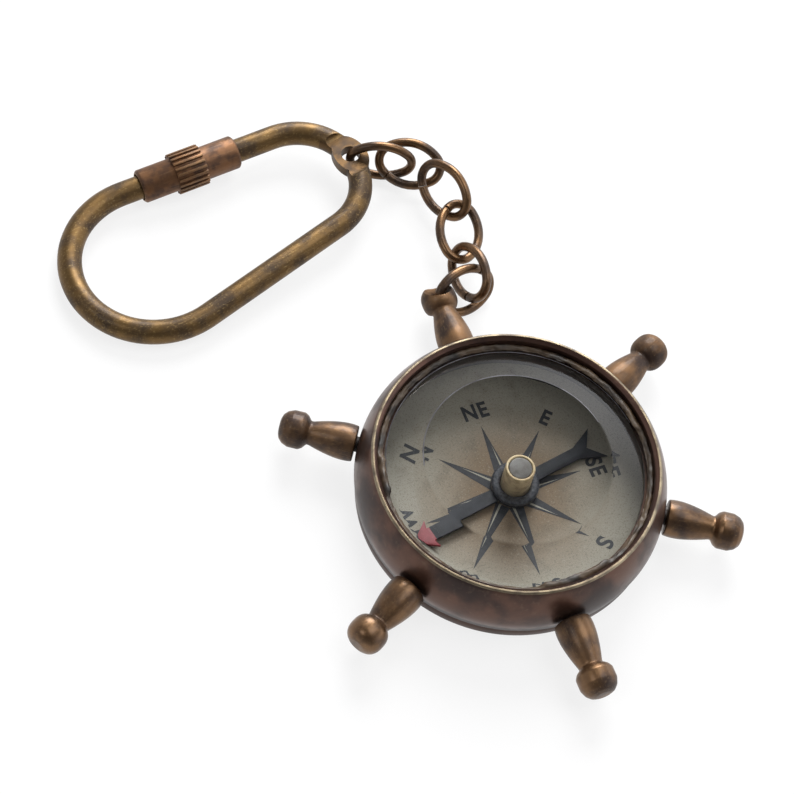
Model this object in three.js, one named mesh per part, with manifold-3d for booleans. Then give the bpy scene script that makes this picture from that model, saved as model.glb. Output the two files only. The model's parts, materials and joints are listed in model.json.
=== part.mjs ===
// Compass keychain: a ship's-wheel compass on a short wire chain with a screw-lock key ring.
// Millimetres, +Z up. The origin is the centre of the compass's flat back, and +Y points to the chain handle.
import * as THREE from 'three';
import { mergeVertices } from 'three/addons/utils/BufferGeometryUtils.js';
import Module from 'manifold-3d';

const wasm = await Module();
wasm.setup();

// Case wall
const CASE_RADIUS = 20;
const CASE_HEIGHT = 10.1;
const BELLY_HEIGHT = 4;
const WALL_FOOT_INSET = 0.25;
const LIP_INSET = 1.65;
const LIP_WIDTH = 0.85;
const LIP_ROUND = 0.2;
const LEDGE_DEPTH = 3.2;
const LEDGE_WIDTH = 1;
const PARTING_GAP = 0.3;

// Back cover, a shallow pan that the case wall plugs into
const COVER_INSET = 0.4;
const COVER_HEIGHT = 1.8;
const COVER_FLOOR = 0.6;
const COVER_RIM_WIDTH = 1.2;
const COVER_EDGE_ROUND = 0.35;
const SPIGOT_CLEARANCE = 0.25;

// Crystal: a thick glass with a flat table and a cone-shaped bevel
const CRYSTAL_CLEARANCE = 0.3;
const CRYSTAL_EDGE = 1.6;
const CRYSTAL_RISE = 1.8;
const CRYSTAL_BEVEL_WIDTH = 4.5;
const CRYSTAL_LAND = 0.8;
const SEAL_HEIGHT = 0.7;
const SEAL_INNER_HEIGHT = 0.25;
const SEAL_CLEARANCE = 0.1;

// Dial and pivot, set a little off the case's axis
const MOVEMENT_X = 0.7;
const MOVEMENT_Y = -0.25;
const DIAL_THICKNESS = 0.3;
const DIAL_CLEARANCE = 0.15;
const PIN_RADIUS = 0.45;
const PIN_TIP = 0.9;
const PIN_HOLE_CLEARANCE = 0.3;

// Needle
const NEEDLE_HEADING = 193;
const NEEDLE_LIFT = 0.5;
const NEEDLE_THICKNESS = 0.35;
const NEEDLE_WIDTH = 1.7;
const NEEDLE_CLEARANCE = 1.75;
const NEEDLE_ARROW_LENGTH = 2.6;
const NEEDLE_ARROW_WIDTH = 3.6;
const NEEDLE_ARROW_SWEEP = 0.3;
const NEEDLE_TAIL_REACH = 13;
const NEEDLE_TAIL_LENGTH = 3.4;
const NEEDLE_TAIL_WIDTH = 4.6;
const NEEDLE_TAIL_NOTCH = 1.8;
const HUB_RADIUS = 3.1;
const HUB_HEIGHT = 0.7;
const HUB_CHAMFER = 0.25;
const CAP_RADIUS = 1.9;
const CAP_WALL = 0.55;
const CAP_HEADROOM = 0.5;
const CAP_FIT = 0.1;
const JEWEL_THICKNESS = 0.8;
const JEWEL_RIM = 0.35;
const PIN_TO_JEWEL = 0.3;

// Handles: turned spokes screwed into the case wall
const HANDLE_COUNT = 6;
const HANDLE_SCATTER = [-0.4, -2.1, -0.2, 1.7, 1.7, -0.7];
const HANDLE_AXIS_HEIGHT = 3.9;
const HANDLE_STANDOFF = 0.3;
const HANDLE_BASE_RADIUS = 2.3;
const HANDLE_BELLY_RADIUS = 2.75;
const HANDLE_BELLY_PLACE = 1.9;
const HANDLE_BODY_LENGTH = 5.8;
const NECK_RADIUS = 1.55;
const NECK_LENGTH = 0.3;
const KNOB_RADIUS = 2.42;
const KNOB_LENGTH = 4.2;
const KNOB_SQUARENESS = 2.6;
const KNOB_TIP_RADIUS = 1;
const STUD_RADIUS = 1;
const STUD_LENGTH = 2.2;
const STUD_CLEARANCE = 0.25;

// Chain: oval links of round wire, each cut once where the wire's ends meet
const WIRE_RADIUS = 0.65;
const LINK_LENGTH = 10;
const LINK_WIDTH = 7.2;
const LINK_GAP = 0.3;
const LINK_SLIT = 0.25;
const LINK_SLIT_ANGLE = 62;
const KNOB_HOLE_CLEARANCE = 0.45;
const KNOB_HOLE_THROAT = 0.6;
const KNOB_HOLE_FLARE = 40;

// How the chain lies: the first link's lean in the knob, then each next link's angles on the last one
const FIRST_LINK = { heading: 15, pitch: -10, roll: 54 };
const NEXT_LINKS = [
  { swing: 40, twist: 35, turn: 43, slack: 2.6 },
  { swing: -20, twist: -94, turn: -30, slack: 0 },
  { swing: 26, twist: 101, turn: 40, slack: 0.3 },
  { swing: 77, twist: 33, turn: -45, slack: 1.4 },
  { swing: 0, twist: 136, turn: -9, slack: 3 },
];

// Key ring: a tapered oval of round rod with a flattened, drilled eye at its small end
const ROD_RADIUS = 1.65;
const RING_BIG_RADIUS = 11.4;
const RING_SMALL_RADIUS = 8.6;
const RING_SPACING = 23;
const RING_HEADING = 16;
const EYE_FLAT_THICKNESS = 1.7;
const EYE_FLAT_LENGTH = 7.8;
const EYE_RADIUS = 2.3;
const EYE_HOLE_CLEARANCE = 0.65;

// Screw sleeve over the ring's gap
const SLEEVE_LENGTH = 14.5;
const SLEEVE_RADIUS = 2.35;
const SLEEVE_CHAMFER = 0.3;
const SLEEVE_CLEARANCE = 0.25;
const SLEEVE_START = 2.7;
const KNURL_RADIUS = 2.9;
const KNURL_DEPTH = 0.35;
const KNURL_LENGTH = 4.4;
const KNURL_START = 5;
const KNURL_RIDGES = 21;
const KNURL_POINTS = 4;
const RING_GAP = 3;
const RING_GAP_START = 3.2;

// Facets
const CASE_SEGMENTS = 60;
const SMALL_SEGMENTS = 18;
const WIRE_SIDES = 8;
const LINK_STEPS = 30;
const ROD_SIDES = 12;
const ROD_STEPS = 64;
const CURVE_STEPS = 6;

// Sizes that follow from the ones above
const LIP_OUTER_RADIUS = CASE_RADIUS - LIP_INSET;
const LIP_INNER_RADIUS = LIP_OUTER_RADIUS - LIP_WIDTH;
const CAVITY_RADIUS = LIP_INNER_RADIUS - LEDGE_WIDTH;
const LEDGE_HEIGHT = CASE_HEIGHT - LEDGE_DEPTH;
const WALL_FOOT_HEIGHT = COVER_HEIGHT + PARTING_GAP;
const COVER_RADIUS = CASE_RADIUS - COVER_INSET;
const COVER_INNER_RADIUS = COVER_RADIUS - COVER_RIM_WIDTH;
const SPIGOT_RADIUS = COVER_INNER_RADIUS - SPIGOT_CLEARANCE;
const DIAL_TOP = COVER_FLOOR + DIAL_THICKNESS;
const MOVEMENT_OFFSET = Math.hypot(MOVEMENT_X, MOVEMENT_Y);
const DIAL_RADIUS = COVER_INNER_RADIUS - MOVEMENT_OFFSET - DIAL_CLEARANCE;
const CRYSTAL_RADIUS = LIP_INNER_RADIUS - CRYSTAL_CLEARANCE;
const CRYSTAL_EDGE_TOP = LEDGE_HEIGHT + CRYSTAL_EDGE;
const NEEDLE_BOTTOM = DIAL_TOP + NEEDLE_LIFT;
const NEEDLE_ARROW_REACH = CAVITY_RADIUS - MOVEMENT_OFFSET - NEEDLE_CLEARANCE;
const CAP_TOP = LEDGE_HEIGHT - CAP_HEADROOM;
const JEWEL_BOTTOM = CAP_TOP - JEWEL_THICKNESS;
const HANDLE_BASE = CASE_RADIUS + HANDLE_STANDOFF;
const KNOB_RISE = knobReach(NECK_RADIUS);
const KNOB_CENTRE = HANDLE_BASE + HANDLE_BODY_LENGTH + NECK_LENGTH + KNOB_RISE;
const LINK_REACH = LINK_LENGTH / 2 - WIRE_RADIUS;
const LINK_HALF_WIDTH = LINK_WIDTH / 2 - WIRE_RADIUS;
const LINK_CONTACT = 2 * WIRE_RADIUS + LINK_GAP;
const RING_TAPER = Math.asin((RING_BIG_RADIUS - RING_SMALL_RADIUS) / RING_SPACING);
const RING_STRAIGHT = Math.sqrt(RING_SPACING ** 2 - (RING_BIG_RADIUS - RING_SMALL_RADIUS) ** 2);
const SMALL_CENTRE_X = -RING_SMALL_RADIUS;
const BIG_CENTRE_X = SMALL_CENTRE_X - RING_SPACING;

const radians = THREE.MathUtils.degToRad;

// Finishes
const BRONZE = { color: 0x6b4f33, roughness: 0.42, metalness: 0.9 };
const HANDLE_BRASS = { color: 0x7a5c36, roughness: 0.38, metalness: 0.9 };
const CHAIN_BRONZE = { color: 0x5a4230, roughness: 0.45, metalness: 0.9 };
const ROD_BRASS = { color: 0x70592f, roughness: 0.4, metalness: 0.9 };
const COPPER_BROWN = { color: 0x7d5233, roughness: 0.42, metalness: 0.9 };
const BRIGHT_BRASS = { color: 0x9a7d45, roughness: 0.3, metalness: 0.95 };
const CARD = { color: 0x9c947c, roughness: 0.7, metalness: 0 };
const CEMENT = { color: 0x4a3a26, roughness: 0.75, metalness: 0 };
const BLUED_STEEL = { color: 0x2a2f3a, roughness: 0.45, metalness: 0.7 };
const GLASS = { color: 0xdfe6e6, roughness: 0.03, metalness: 0, transparent: true, opacity: 0.3 };

// Keep only positions, share the vertices and drop the slivers at the poles.
function welded(geometry) {
  const bare = geometry.clone();
  bare.deleteAttribute('normal');
  bare.deleteAttribute('uv');
  const merged = mergeVertices(bare, 1e-5);
  const kept = [];
  const corners = merged.index.array;
  for (let i = 0; i < corners.length; i += 3) {
    const [a, b, c] = corners.slice(i, i + 3);
    if (a !== b && b !== c && c !== a) kept.push(a, b, c);
  }
  merged.setIndex(kept);
  return merged;
}

function solid(geometry) {
  const body = welded(geometry);
  const vertProperties = new Float32Array(body.attributes.position.array);
  const triVerts = new Uint32Array(body.index.array);
  return new wasm.Manifold(new wasm.Mesh({ numProp: 3, vertProperties, triVerts }));
}

function shapeOf(manifold) {
  const mesh = manifold.getMesh();
  const geometry = new THREE.BufferGeometry();
  geometry.setAttribute('position', new THREE.BufferAttribute(mesh.vertProperties.slice(), 3));
  geometry.setIndex(new THREE.BufferAttribute(mesh.triVerts.slice(), 1));
  return geometry;
}

function piece(name, geometry, finish) {
  const mesh = new THREE.Mesh(geometry, new THREE.MeshStandardMaterial(finish));
  mesh.name = name;
  return mesh;
}

// A turned body about +Z. The profile holds [radius, height] pairs, counter-clockwise.
function turned(profile, segments) {
  const points = profile.map(([radius, height]) => new THREE.Vector2(radius, height));
  return welded(new THREE.LatheGeometry(points, segments).rotateX(Math.PI / 2));
}

function ringProfile(profile) {
  return [...profile, profile[0]];
}

// Points on an arc about a centre, from one angle to another, in degrees.
function arc(centreX, centreY, radius, from, to) {
  const points = [];
  for (let i = 0; i <= CURVE_STEPS; i += 1) {
    const angle = radians(from + (to - from) * i / CURVE_STEPS);
    points.push([centreX + radius * Math.cos(angle), centreY + radius * Math.sin(angle)]);
  }
  return points;
}

function roundSection(radius, sides) {
  const points = [];
  for (let i = 0; i < sides; i += 1) {
    const angle = 2 * Math.PI * i / sides;
    points.push(new THREE.Vector2(radius * Math.cos(angle), radius * Math.sin(angle)));
  }
  return new THREE.Shape(points);
}

function swept(curve, radius, sides, steps) {
  const options = { extrudePath: curve, steps, bevelEnabled: false };
  return welded(new THREE.ExtrudeGeometry(roundSection(radius, sides), options));
}

function plate(outline, thickness, holeRadius) {
  const shape = new THREE.Shape(outline.map(([x, y]) => new THREE.Vector2(x, y)));
  if (holeRadius) shape.holes.push(new THREE.Path().absarc(0, 0, holeRadius, 0, 2 * Math.PI, true));
  const options = { depth: thickness, bevelEnabled: false, curveSegments: SMALL_SEGMENTS };
  return welded(new THREE.ExtrudeGeometry(shape, options));
}

// A plain disc about +Z.
function disc(radius, bottom, top) {
  return turned([[0, bottom], [radius, bottom], [radius, top], [0, top]], SMALL_SEGMENTS);
}

// A straight rod about +X, for drilling.
function drill(radius, from, to) {
  const rod = new THREE.CylinderGeometry(radius, radius, to - from, SMALL_SEGMENTS).rotateZ(-Math.PI / 2);
  return rod.translate((from + to) / 2, 0, 0);
}

function handleAngle(index) {
  return radians(90 - index * 360 / HANDLE_COUNT + HANDLE_SCATTER[index]);
}

// Case wall: a bullnose ring with a lip, a ledge for the crystal and a spigot into the cover.
function caseWallProfile() {
  const noseRise = CASE_HEIGHT - LIP_ROUND - BELLY_HEIGHT;
  const noseRadius = (LIP_INSET ** 2 + noseRise ** 2) / (2 * LIP_INSET);
  const noseEnd = THREE.MathUtils.radToDeg(Math.asin(noseRise / noseRadius));
  return ringProfile([
    [CAVITY_RADIUS, DIAL_TOP],
    [SPIGOT_RADIUS, DIAL_TOP],
    [SPIGOT_RADIUS, WALL_FOOT_HEIGHT],
    [CASE_RADIUS - WALL_FOOT_INSET, WALL_FOOT_HEIGHT],
    ...arc(CASE_RADIUS - noseRadius, BELLY_HEIGHT, noseRadius, 0, noseEnd),
    [LIP_OUTER_RADIUS - LIP_ROUND, CASE_HEIGHT],
    [LIP_INNER_RADIUS + LIP_ROUND, CASE_HEIGHT],
    [LIP_INNER_RADIUS, CASE_HEIGHT - LIP_ROUND],
    [LIP_INNER_RADIUS, LEDGE_HEIGHT],
    [CAVITY_RADIUS, LEDGE_HEIGHT],
  ]);
}

function caseWall() {
  let wall = solid(turned(caseWallProfile(), CASE_SEGMENTS));
  const holeFrom = HANDLE_BASE - STUD_LENGTH - STUD_CLEARANCE;
  for (let index = 0; index < HANDLE_COUNT; index += 1) {
    const hole = drill(STUD_RADIUS + STUD_CLEARANCE, holeFrom, HANDLE_BASE);
    hole.rotateZ(handleAngle(index)).translate(0, 0, HANDLE_AXIS_HEIGHT);
    wall = wall.subtract(solid(hole));
  }
  return shapeOf(wall);
}

function backCover() {
  return turned([
    [0, 0],
    [COVER_RADIUS - COVER_EDGE_ROUND, 0],
    [COVER_RADIUS, COVER_EDGE_ROUND],
    [COVER_RADIUS, COVER_HEIGHT],
    [COVER_INNER_RADIUS, COVER_HEIGHT],
    [COVER_INNER_RADIUS, COVER_FLOOR],
    [0, COVER_FLOOR],
  ], CASE_SEGMENTS);
}

function crystal() {
  const landRadius = CRYSTAL_RADIUS - CRYSTAL_LAND;
  return turned([
    [0, LEDGE_HEIGHT],
    [CRYSTAL_RADIUS, LEDGE_HEIGHT],
    [CRYSTAL_RADIUS, CRYSTAL_EDGE_TOP],
    [landRadius, CRYSTAL_EDGE_TOP],
    [landRadius - CRYSTAL_BEVEL_WIDTH, CRYSTAL_EDGE_TOP + CRYSTAL_RISE],
    [0, CRYSTAL_EDGE_TOP + CRYSTAL_RISE],
  ], CASE_SEGMENTS);
}

function crystalSeal() {
  const inner = CRYSTAL_RADIUS - CRYSTAL_LAND + SEAL_CLEARANCE;
  const outer = LIP_INNER_RADIUS - SEAL_CLEARANCE;
  return turned(ringProfile([
    [inner, CRYSTAL_EDGE_TOP],
    [outer, CRYSTAL_EDGE_TOP],
    [outer, CRYSTAL_EDGE_TOP + SEAL_HEIGHT],
    [inner, CRYSTAL_EDGE_TOP + SEAL_INNER_HEIGHT],
  ]), CASE_SEGMENTS);
}

function dial() {
  return turned(ringProfile([
    [PIN_RADIUS + PIN_HOLE_CLEARANCE, COVER_FLOOR],
    [DIAL_RADIUS, COVER_FLOOR],
    [DIAL_RADIUS, DIAL_TOP],
    [PIN_RADIUS + PIN_HOLE_CLEARANCE, DIAL_TOP],
  ]), CASE_SEGMENTS);
}

function pivotPin() {
  const tip = JEWEL_BOTTOM - PIN_TO_JEWEL;
  const shoulder = tip - PIN_TIP;
  return turned([
    [0, COVER_FLOOR],
    [PIN_RADIUS, COVER_FLOOR],
    [PIN_RADIUS, shoulder],
    [0, tip],
  ], SMALL_SEGMENTS);
}

// Needle along +X: a bar with an arrow head in front, a forked tail behind and a round eye for the cap.
function needleBar() {
  const bar = NEEDLE_WIDTH / 2;
  const barb = NEEDLE_ARROW_REACH - NEEDLE_ARROW_LENGTH;
  const fork = NEEDLE_TAIL_REACH - NEEDLE_TAIL_LENGTH;
  const half = [
    [NEEDLE_ARROW_REACH, 0],
    [barb - NEEDLE_ARROW_SWEEP, NEEDLE_ARROW_WIDTH / 2],
    [barb, bar],
    [-fork, bar],
    [-NEEDLE_TAIL_REACH, NEEDLE_TAIL_WIDTH / 2],
  ];
  const notch = [[NEEDLE_TAIL_NOTCH - NEEDLE_TAIL_REACH, 0]];
  const other = half.slice(1).reverse().map(([x, y]) => [x, -y]);
  const blade = solid(plate([...half, ...notch, ...other], NEEDLE_THICKNESS));
  const eye = solid(disc(HUB_RADIUS, 0, NEEDLE_THICKNESS));
  const hole = solid(drill(CAP_RADIUS + CAP_FIT, -HUB_RADIUS, HUB_RADIUS).rotateY(Math.PI / 2));
  return shapeOf(blade.add(eye).subtract(hole)).translate(0, 0, NEEDLE_BOTTOM);
}

function needleHub() {
  const bottom = NEEDLE_BOTTOM + NEEDLE_THICKNESS;
  const top = bottom + HUB_HEIGHT;
  return turned(ringProfile([
    [CAP_RADIUS + CAP_FIT, bottom],
    [HUB_RADIUS, bottom],
    [HUB_RADIUS, top - HUB_CHAMFER],
    [HUB_RADIUS - HUB_CHAMFER, top],
    [CAP_RADIUS + CAP_FIT, top],
  ]), SMALL_SEGMENTS);
}

function needleCap() {
  const bore = CAP_RADIUS - CAP_WALL;
  const seat = CAP_RADIUS - JEWEL_RIM;
  return turned(ringProfile([
    [bore, NEEDLE_BOTTOM],
    [CAP_RADIUS, NEEDLE_BOTTOM],
    [CAP_RADIUS, CAP_TOP],
    [seat, CAP_TOP],
    [seat, JEWEL_BOTTOM],
    [bore, JEWEL_BOTTOM],
  ]), SMALL_SEGMENTS);
}

function capJewel() {
  const radius = CAP_RADIUS - JEWEL_RIM - CAP_FIT;
  const edge = CAP_TOP - CAP_FIT;
  return turned([
    [0, JEWEL_BOTTOM],
    [radius, JEWEL_BOTTOM],
    [radius, edge],
    [0, CAP_TOP],
  ], SMALL_SEGMENTS);
}

// Handle profile along its own axis: stud, barrel body, neck and a rounded knob with a flat tip.
function handleProfile() {
  const neckStart = HANDLE_BASE + HANDLE_BODY_LENGTH;
  const belly = new THREE.QuadraticBezierCurve(
    new THREE.Vector2(HANDLE_BASE_RADIUS, HANDLE_BASE),
    new THREE.Vector2(HANDLE_BELLY_RADIUS, HANDLE_BASE + HANDLE_BELLY_PLACE),
    new THREE.Vector2(NECK_RADIUS, neckStart),
  );
  const knob = [];
  const tipReach = knobReach(KNOB_TIP_RADIUS);
  for (let i = 0; i <= CURVE_STEPS; i += 1) {
    const x = -KNOB_RISE + (KNOB_RISE + tipReach) * i / CURVE_STEPS;
    knob.push([knobRadius(x), KNOB_CENTRE + x]);
  }
  return [
    [0, HANDLE_BASE - STUD_LENGTH],
    [STUD_RADIUS, HANDLE_BASE - STUD_LENGTH],
    [STUD_RADIUS, HANDLE_BASE],
    ...belly.getPoints(CURVE_STEPS).map((point) => [point.x, point.y]),
    ...knob,
    [0, KNOB_CENTRE + tipReach],
  ];
}

function knobRadius(x) {
  const share = Math.abs(2 * x / KNOB_LENGTH);
  return KNOB_RADIUS * Math.pow(1 - Math.pow(share, KNOB_SQUARENESS), 1 / KNOB_SQUARENESS);
}

function knobReach(radius) {
  const share = radius / KNOB_RADIUS;
  return KNOB_LENGTH / 2 * Math.pow(1 - Math.pow(share, KNOB_SQUARENESS), 1 / KNOB_SQUARENESS);
}

function handle() {
  return turned(handleProfile(), SMALL_SEGMENTS).rotateY(Math.PI / 2);
}

// The chain handle's hole: narrow in the middle and flared to both mouths, so the bent wire runs clear.
function knobDrill() {
  const throat = WIRE_RADIUS + KNOB_HOLE_CLEARANCE;
  const mouthHeight = KNOB_RADIUS * 2;
  const mouth = throat + (mouthHeight - KNOB_HOLE_THROAT) * Math.tan(radians(KNOB_HOLE_FLARE));
  return turned([
    [0, -mouthHeight],
    [mouth, -mouthHeight],
    [throat, -KNOB_HOLE_THROAT],
    [throat, KNOB_HOLE_THROAT],
    [mouth, mouthHeight],
    [0, mouthHeight],
  ], SMALL_SEGMENTS);
}

// The frame of the first link, with its near wire on local Y through the knob's centre.
function firstLinkFrame() {
  const group = new THREE.Group();
  const { heading, pitch, roll } = FIRST_LINK;
  group.position.set(
    KNOB_CENTRE * Math.cos(handleAngle(0)),
    KNOB_CENTRE * Math.sin(handleAngle(0)),
    HANDLE_AXIS_HEIGHT,
  );
  group.rotation.set(radians(roll), radians(-pitch), radians(heading), 'ZYX');
  group.updateMatrixWorld();
  return group;
}

function drilledHandle() {
  const body = handle().rotateZ(handleAngle(0)).translate(0, 0, HANDLE_AXIS_HEIGHT);
  const cutter = knobDrill().rotateX(-Math.PI / 2).applyMatrix4(firstLinkFrame().matrixWorld);
  return shapeOf(solid(body).subtract(solid(cutter)));
}

// One link: an oval in its local XY plane, with a thin slit where the wire's ends meet.
class LinkCurve extends THREE.Curve {
  getPoint(t) {
    const slit = LINK_SLIT / LINK_HALF_WIDTH;
    const angle = radians(LINK_SLIT_ANGLE) + slit / 2 + (2 * Math.PI - slit) * t;
    return new THREE.Vector3(LINK_REACH * Math.cos(angle), LINK_HALF_WIDTH * Math.sin(angle), 0);
  }
}

function addLink(frame, index) {
  const wire = swept(new LinkCurve(), WIRE_RADIUS, WIRE_SIDES, LINK_STEPS);
  const link = piece(`chain_link_${index}`, wire, CHAIN_BRONZE);
  link.position.x = LINK_REACH;
  frame.add(link);
  return link;
}

// The next link's frame: swung about the last link's end wire, twisted, drawn in,
// and turned about its own near wire.
function nextFrame(link, { swing, twist, turn, slack }) {
  const hook = new THREE.Group();
  hook.position.x = LINK_REACH;
  hook.rotation.y = radians(swing);
  const roll = new THREE.Group();
  roll.rotation.x = radians(twist);
  const frame = new THREE.Group();
  frame.position.x = -(LINK_CONTACT + slack);
  frame.rotation.y = radians(turn);
  link.add(hook);
  hook.add(roll);
  roll.add(frame);
  return frame;
}

function chain() {
  const first = firstLinkFrame();
  let link = addLink(first, 1);
  NEXT_LINKS.forEach((angles, order) => {
    link = addLink(nextFrame(link, angles), order + 2);
  });
  first.updateMatrixWorld(true);
  return { first, end: link.localToWorld(new THREE.Vector3(LINK_REACH, 0, 0)) };
}

// A flat path drawn in the ring's own plane.
class FlatCurve extends THREE.Curve {
  constructor(path) {
    super();
    this.path = path;
  }

  getPoint(t) {
    const point = this.path.getPointAt(t);
    return new THREE.Vector3(point.x, point.y, 0);
  }
}

// A point on the ring's upper straight, measured from the big bend.
function onUpperStraight(distance) {
  const x = BIG_CENTRE_X + RING_BIG_RADIUS * Math.sin(RING_TAPER) + distance * Math.cos(RING_TAPER);
  const y = RING_BIG_RADIUS * Math.cos(RING_TAPER) - distance * Math.sin(RING_TAPER);
  return new THREE.Vector2(x, y);
}

function keyRing() {
  const side = Math.PI / 2 - RING_TAPER;
  const gapStart = SLEEVE_START + RING_GAP_START;
  const start = onUpperStraight(gapStart + RING_GAP);
  const finish = onUpperStraight(gapStart);
  const path = new THREE.Path();
  const smallBend = onUpperStraight(RING_STRAIGHT);
  path.moveTo(start.x, start.y);
  path.lineTo(smallBend.x, smallBend.y);
  path.absarc(SMALL_CENTRE_X, 0, RING_SMALL_RADIUS, side, -side, true);
  path.absarc(BIG_CENTRE_X, 0, RING_BIG_RADIUS, -side, side, true);
  path.lineTo(finish.x, finish.y);
  const rod = solid(swept(new FlatCurve(path), ROD_RADIUS, ROD_SIDES, ROD_STEPS));
  const eye = solid(disc(EYE_RADIUS, -EYE_FLAT_THICKNESS / 2, EYE_FLAT_THICKNESS / 2));
  const cutHeight = ROD_RADIUS * 2;
  const cutWidth = ROD_RADIUS * 4;
  const flat = new THREE.BoxGeometry(cutWidth, EYE_FLAT_LENGTH, cutHeight);
  const offset = EYE_FLAT_THICKNESS / 2 + cutHeight / 2;
  const upper = solid(flat.clone().translate(0, 0, offset));
  const lower = solid(flat.clone().translate(0, 0, -offset));
  const hole = solid(drill(WIRE_RADIUS + EYE_HOLE_CLEARANCE, -cutHeight, cutHeight).rotateY(Math.PI / 2));
  return shapeOf(rod.subtract(upper).subtract(lower).add(eye).subtract(hole));
}

function knurlOutline() {
  const points = [];
  const count = KNURL_RIDGES * KNURL_POINTS;
  for (let i = 0; i < count; i += 1) {
    const angle = 2 * Math.PI * i / count;
    const radius = i % KNURL_POINTS < KNURL_POINTS / 2 ? KNURL_RADIUS : KNURL_RADIUS - KNURL_DEPTH;
    points.push([radius * Math.cos(angle), radius * Math.sin(angle)]);
  }
  return points;
}

// Sleeve along +Z from its left end, plain at both ends with a straight-knurled band.
function screwSleeve() {
  const bore = ROD_RADIUS + SLEEVE_CLEARANCE;
  const tube = solid(turned(ringProfile([
    [bore, 0],
    [SLEEVE_RADIUS - SLEEVE_CHAMFER, 0],
    [SLEEVE_RADIUS, SLEEVE_CHAMFER],
    [SLEEVE_RADIUS, SLEEVE_LENGTH - SLEEVE_CHAMFER],
    [SLEEVE_RADIUS - SLEEVE_CHAMFER, SLEEVE_LENGTH],
    [bore, SLEEVE_LENGTH],
  ]), SMALL_SEGMENTS));
  const midWall = (bore + SLEEVE_RADIUS) / 2;
  const band = plate(knurlOutline(), KNURL_LENGTH, midWall).translate(0, 0, KNURL_START);
  return shapeOf(tube.add(solid(band)));
}

function compass() {
  const group = new THREE.Group();
  group.add(piece('case_ring', caseWall(), BRONZE));
  group.add(piece('back_cover', backCover(), BRONZE));
  group.add(piece('crystal', crystal(), GLASS));
  group.add(piece('crystal_seal', crystalSeal(), CEMENT));
  const movement = new THREE.Group();
  movement.position.set(MOVEMENT_X, MOVEMENT_Y, 0);
  movement.add(piece('dial', dial(), CARD));
  movement.add(piece('pivot_pin', pivotPin(), BLUED_STEEL));
  const needle = new THREE.Group();
  needle.rotation.z = radians(NEEDLE_HEADING);
  needle.add(piece('compass_needle', needleBar(), BLUED_STEEL));
  needle.add(piece('needle_hub', needleHub(), BLUED_STEEL));
  needle.add(piece('needle_cap', needleCap(), BRIGHT_BRASS));
  needle.add(piece('cap_jewel', capJewel(), GLASS));
  movement.add(needle);
  group.add(movement);
  return group;
}

function handles() {
  const group = new THREE.Group();
  group.add(piece('handle_1', drilledHandle(), HANDLE_BRASS));
  for (let index = 1; index < HANDLE_COUNT; index += 1) {
    const spoke = piece(`handle_${index + 1}`, handle(), HANDLE_BRASS);
    spoke.position.z = HANDLE_AXIS_HEIGHT;
    spoke.rotation.z = handleAngle(index);
    group.add(spoke);
  }
  return group;
}

// How the ring lies: its eye is held up by the last link, and its knurl's low end and its big bend
// touch the floor.
// The slopes along and across the ring solve both touches, the second as a quadratic.
function ringSlopes(eyeHeight) {
  const knurl = onUpperStraight(SLEEVE_START + KNURL_START);
  const across = (KNURL_RADIUS - eyeHeight) / knurl.y;
  const perAlong = -knurl.x / knurl.y;
  const drop = eyeHeight - ROD_RADIUS;
  const a = RING_BIG_RADIUS ** 2 * (1 + perAlong ** 2) - BIG_CENTRE_X ** 2;
  const b = 2 * RING_BIG_RADIUS ** 2 * across * perAlong - 2 * drop * BIG_CENTRE_X;
  const c = RING_BIG_RADIUS ** 2 * across ** 2 - drop ** 2;
  const along = 2 * -c / (b + Math.sqrt(b ** 2 - 4 * a * c));
  return { along, across: across + perAlong * along };
}

function ringWithSleeve(eye) {
  const group = new THREE.Group();
  const { along, across } = ringSlopes(eye.z);
  const lean = Math.asin(along);
  const roll = Math.asin(across / Math.cos(lean));
  group.position.copy(eye);
  group.rotation.set(roll, -lean, radians(RING_HEADING), 'ZYX');
  group.add(piece('key_ring', keyRing(), ROD_BRASS));
  const sleeve = piece('screw_sleeve', screwSleeve().rotateY(Math.PI / 2), COPPER_BROWN);
  const start = onUpperStraight(SLEEVE_START);
  sleeve.position.set(start.x, start.y, 0);
  sleeve.rotation.z = -RING_TAPER;
  group.add(sleeve);
  return group;
}

const { first, end } = chain();
const keychain = new THREE.Group();
keychain.add(compass());
keychain.add(handles());
keychain.add(first);
keychain.add(ringWithSleeve(end));

export default keychain;
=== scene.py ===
"""Looks of the compass keychain.

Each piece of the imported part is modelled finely, dressed and set in a white studio.
"""

import json
import logging
import math
from collections.abc import Callable, Sequence
from dataclasses import dataclass, replace
from enum import Enum

import bpy
import numpy as np
from mathutils import Matrix, Vector


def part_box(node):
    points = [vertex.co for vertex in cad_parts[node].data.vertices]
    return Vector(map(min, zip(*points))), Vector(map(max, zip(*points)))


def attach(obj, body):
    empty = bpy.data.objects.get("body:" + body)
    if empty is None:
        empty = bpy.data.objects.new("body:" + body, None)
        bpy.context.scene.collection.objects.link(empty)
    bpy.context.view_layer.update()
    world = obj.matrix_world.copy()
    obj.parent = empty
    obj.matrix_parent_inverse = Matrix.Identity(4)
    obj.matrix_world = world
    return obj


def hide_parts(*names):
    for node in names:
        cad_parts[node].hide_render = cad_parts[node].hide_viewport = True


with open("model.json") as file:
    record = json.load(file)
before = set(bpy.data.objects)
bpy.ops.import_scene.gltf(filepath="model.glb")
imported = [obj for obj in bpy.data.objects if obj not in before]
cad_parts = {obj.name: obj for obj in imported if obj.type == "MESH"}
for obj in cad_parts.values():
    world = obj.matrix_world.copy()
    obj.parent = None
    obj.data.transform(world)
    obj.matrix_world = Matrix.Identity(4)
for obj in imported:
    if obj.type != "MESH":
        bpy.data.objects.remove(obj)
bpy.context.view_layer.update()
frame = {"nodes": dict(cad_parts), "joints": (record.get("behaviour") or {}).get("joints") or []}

LOG = logging.getLogger("compass_keychain")
MM = 0.001
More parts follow.
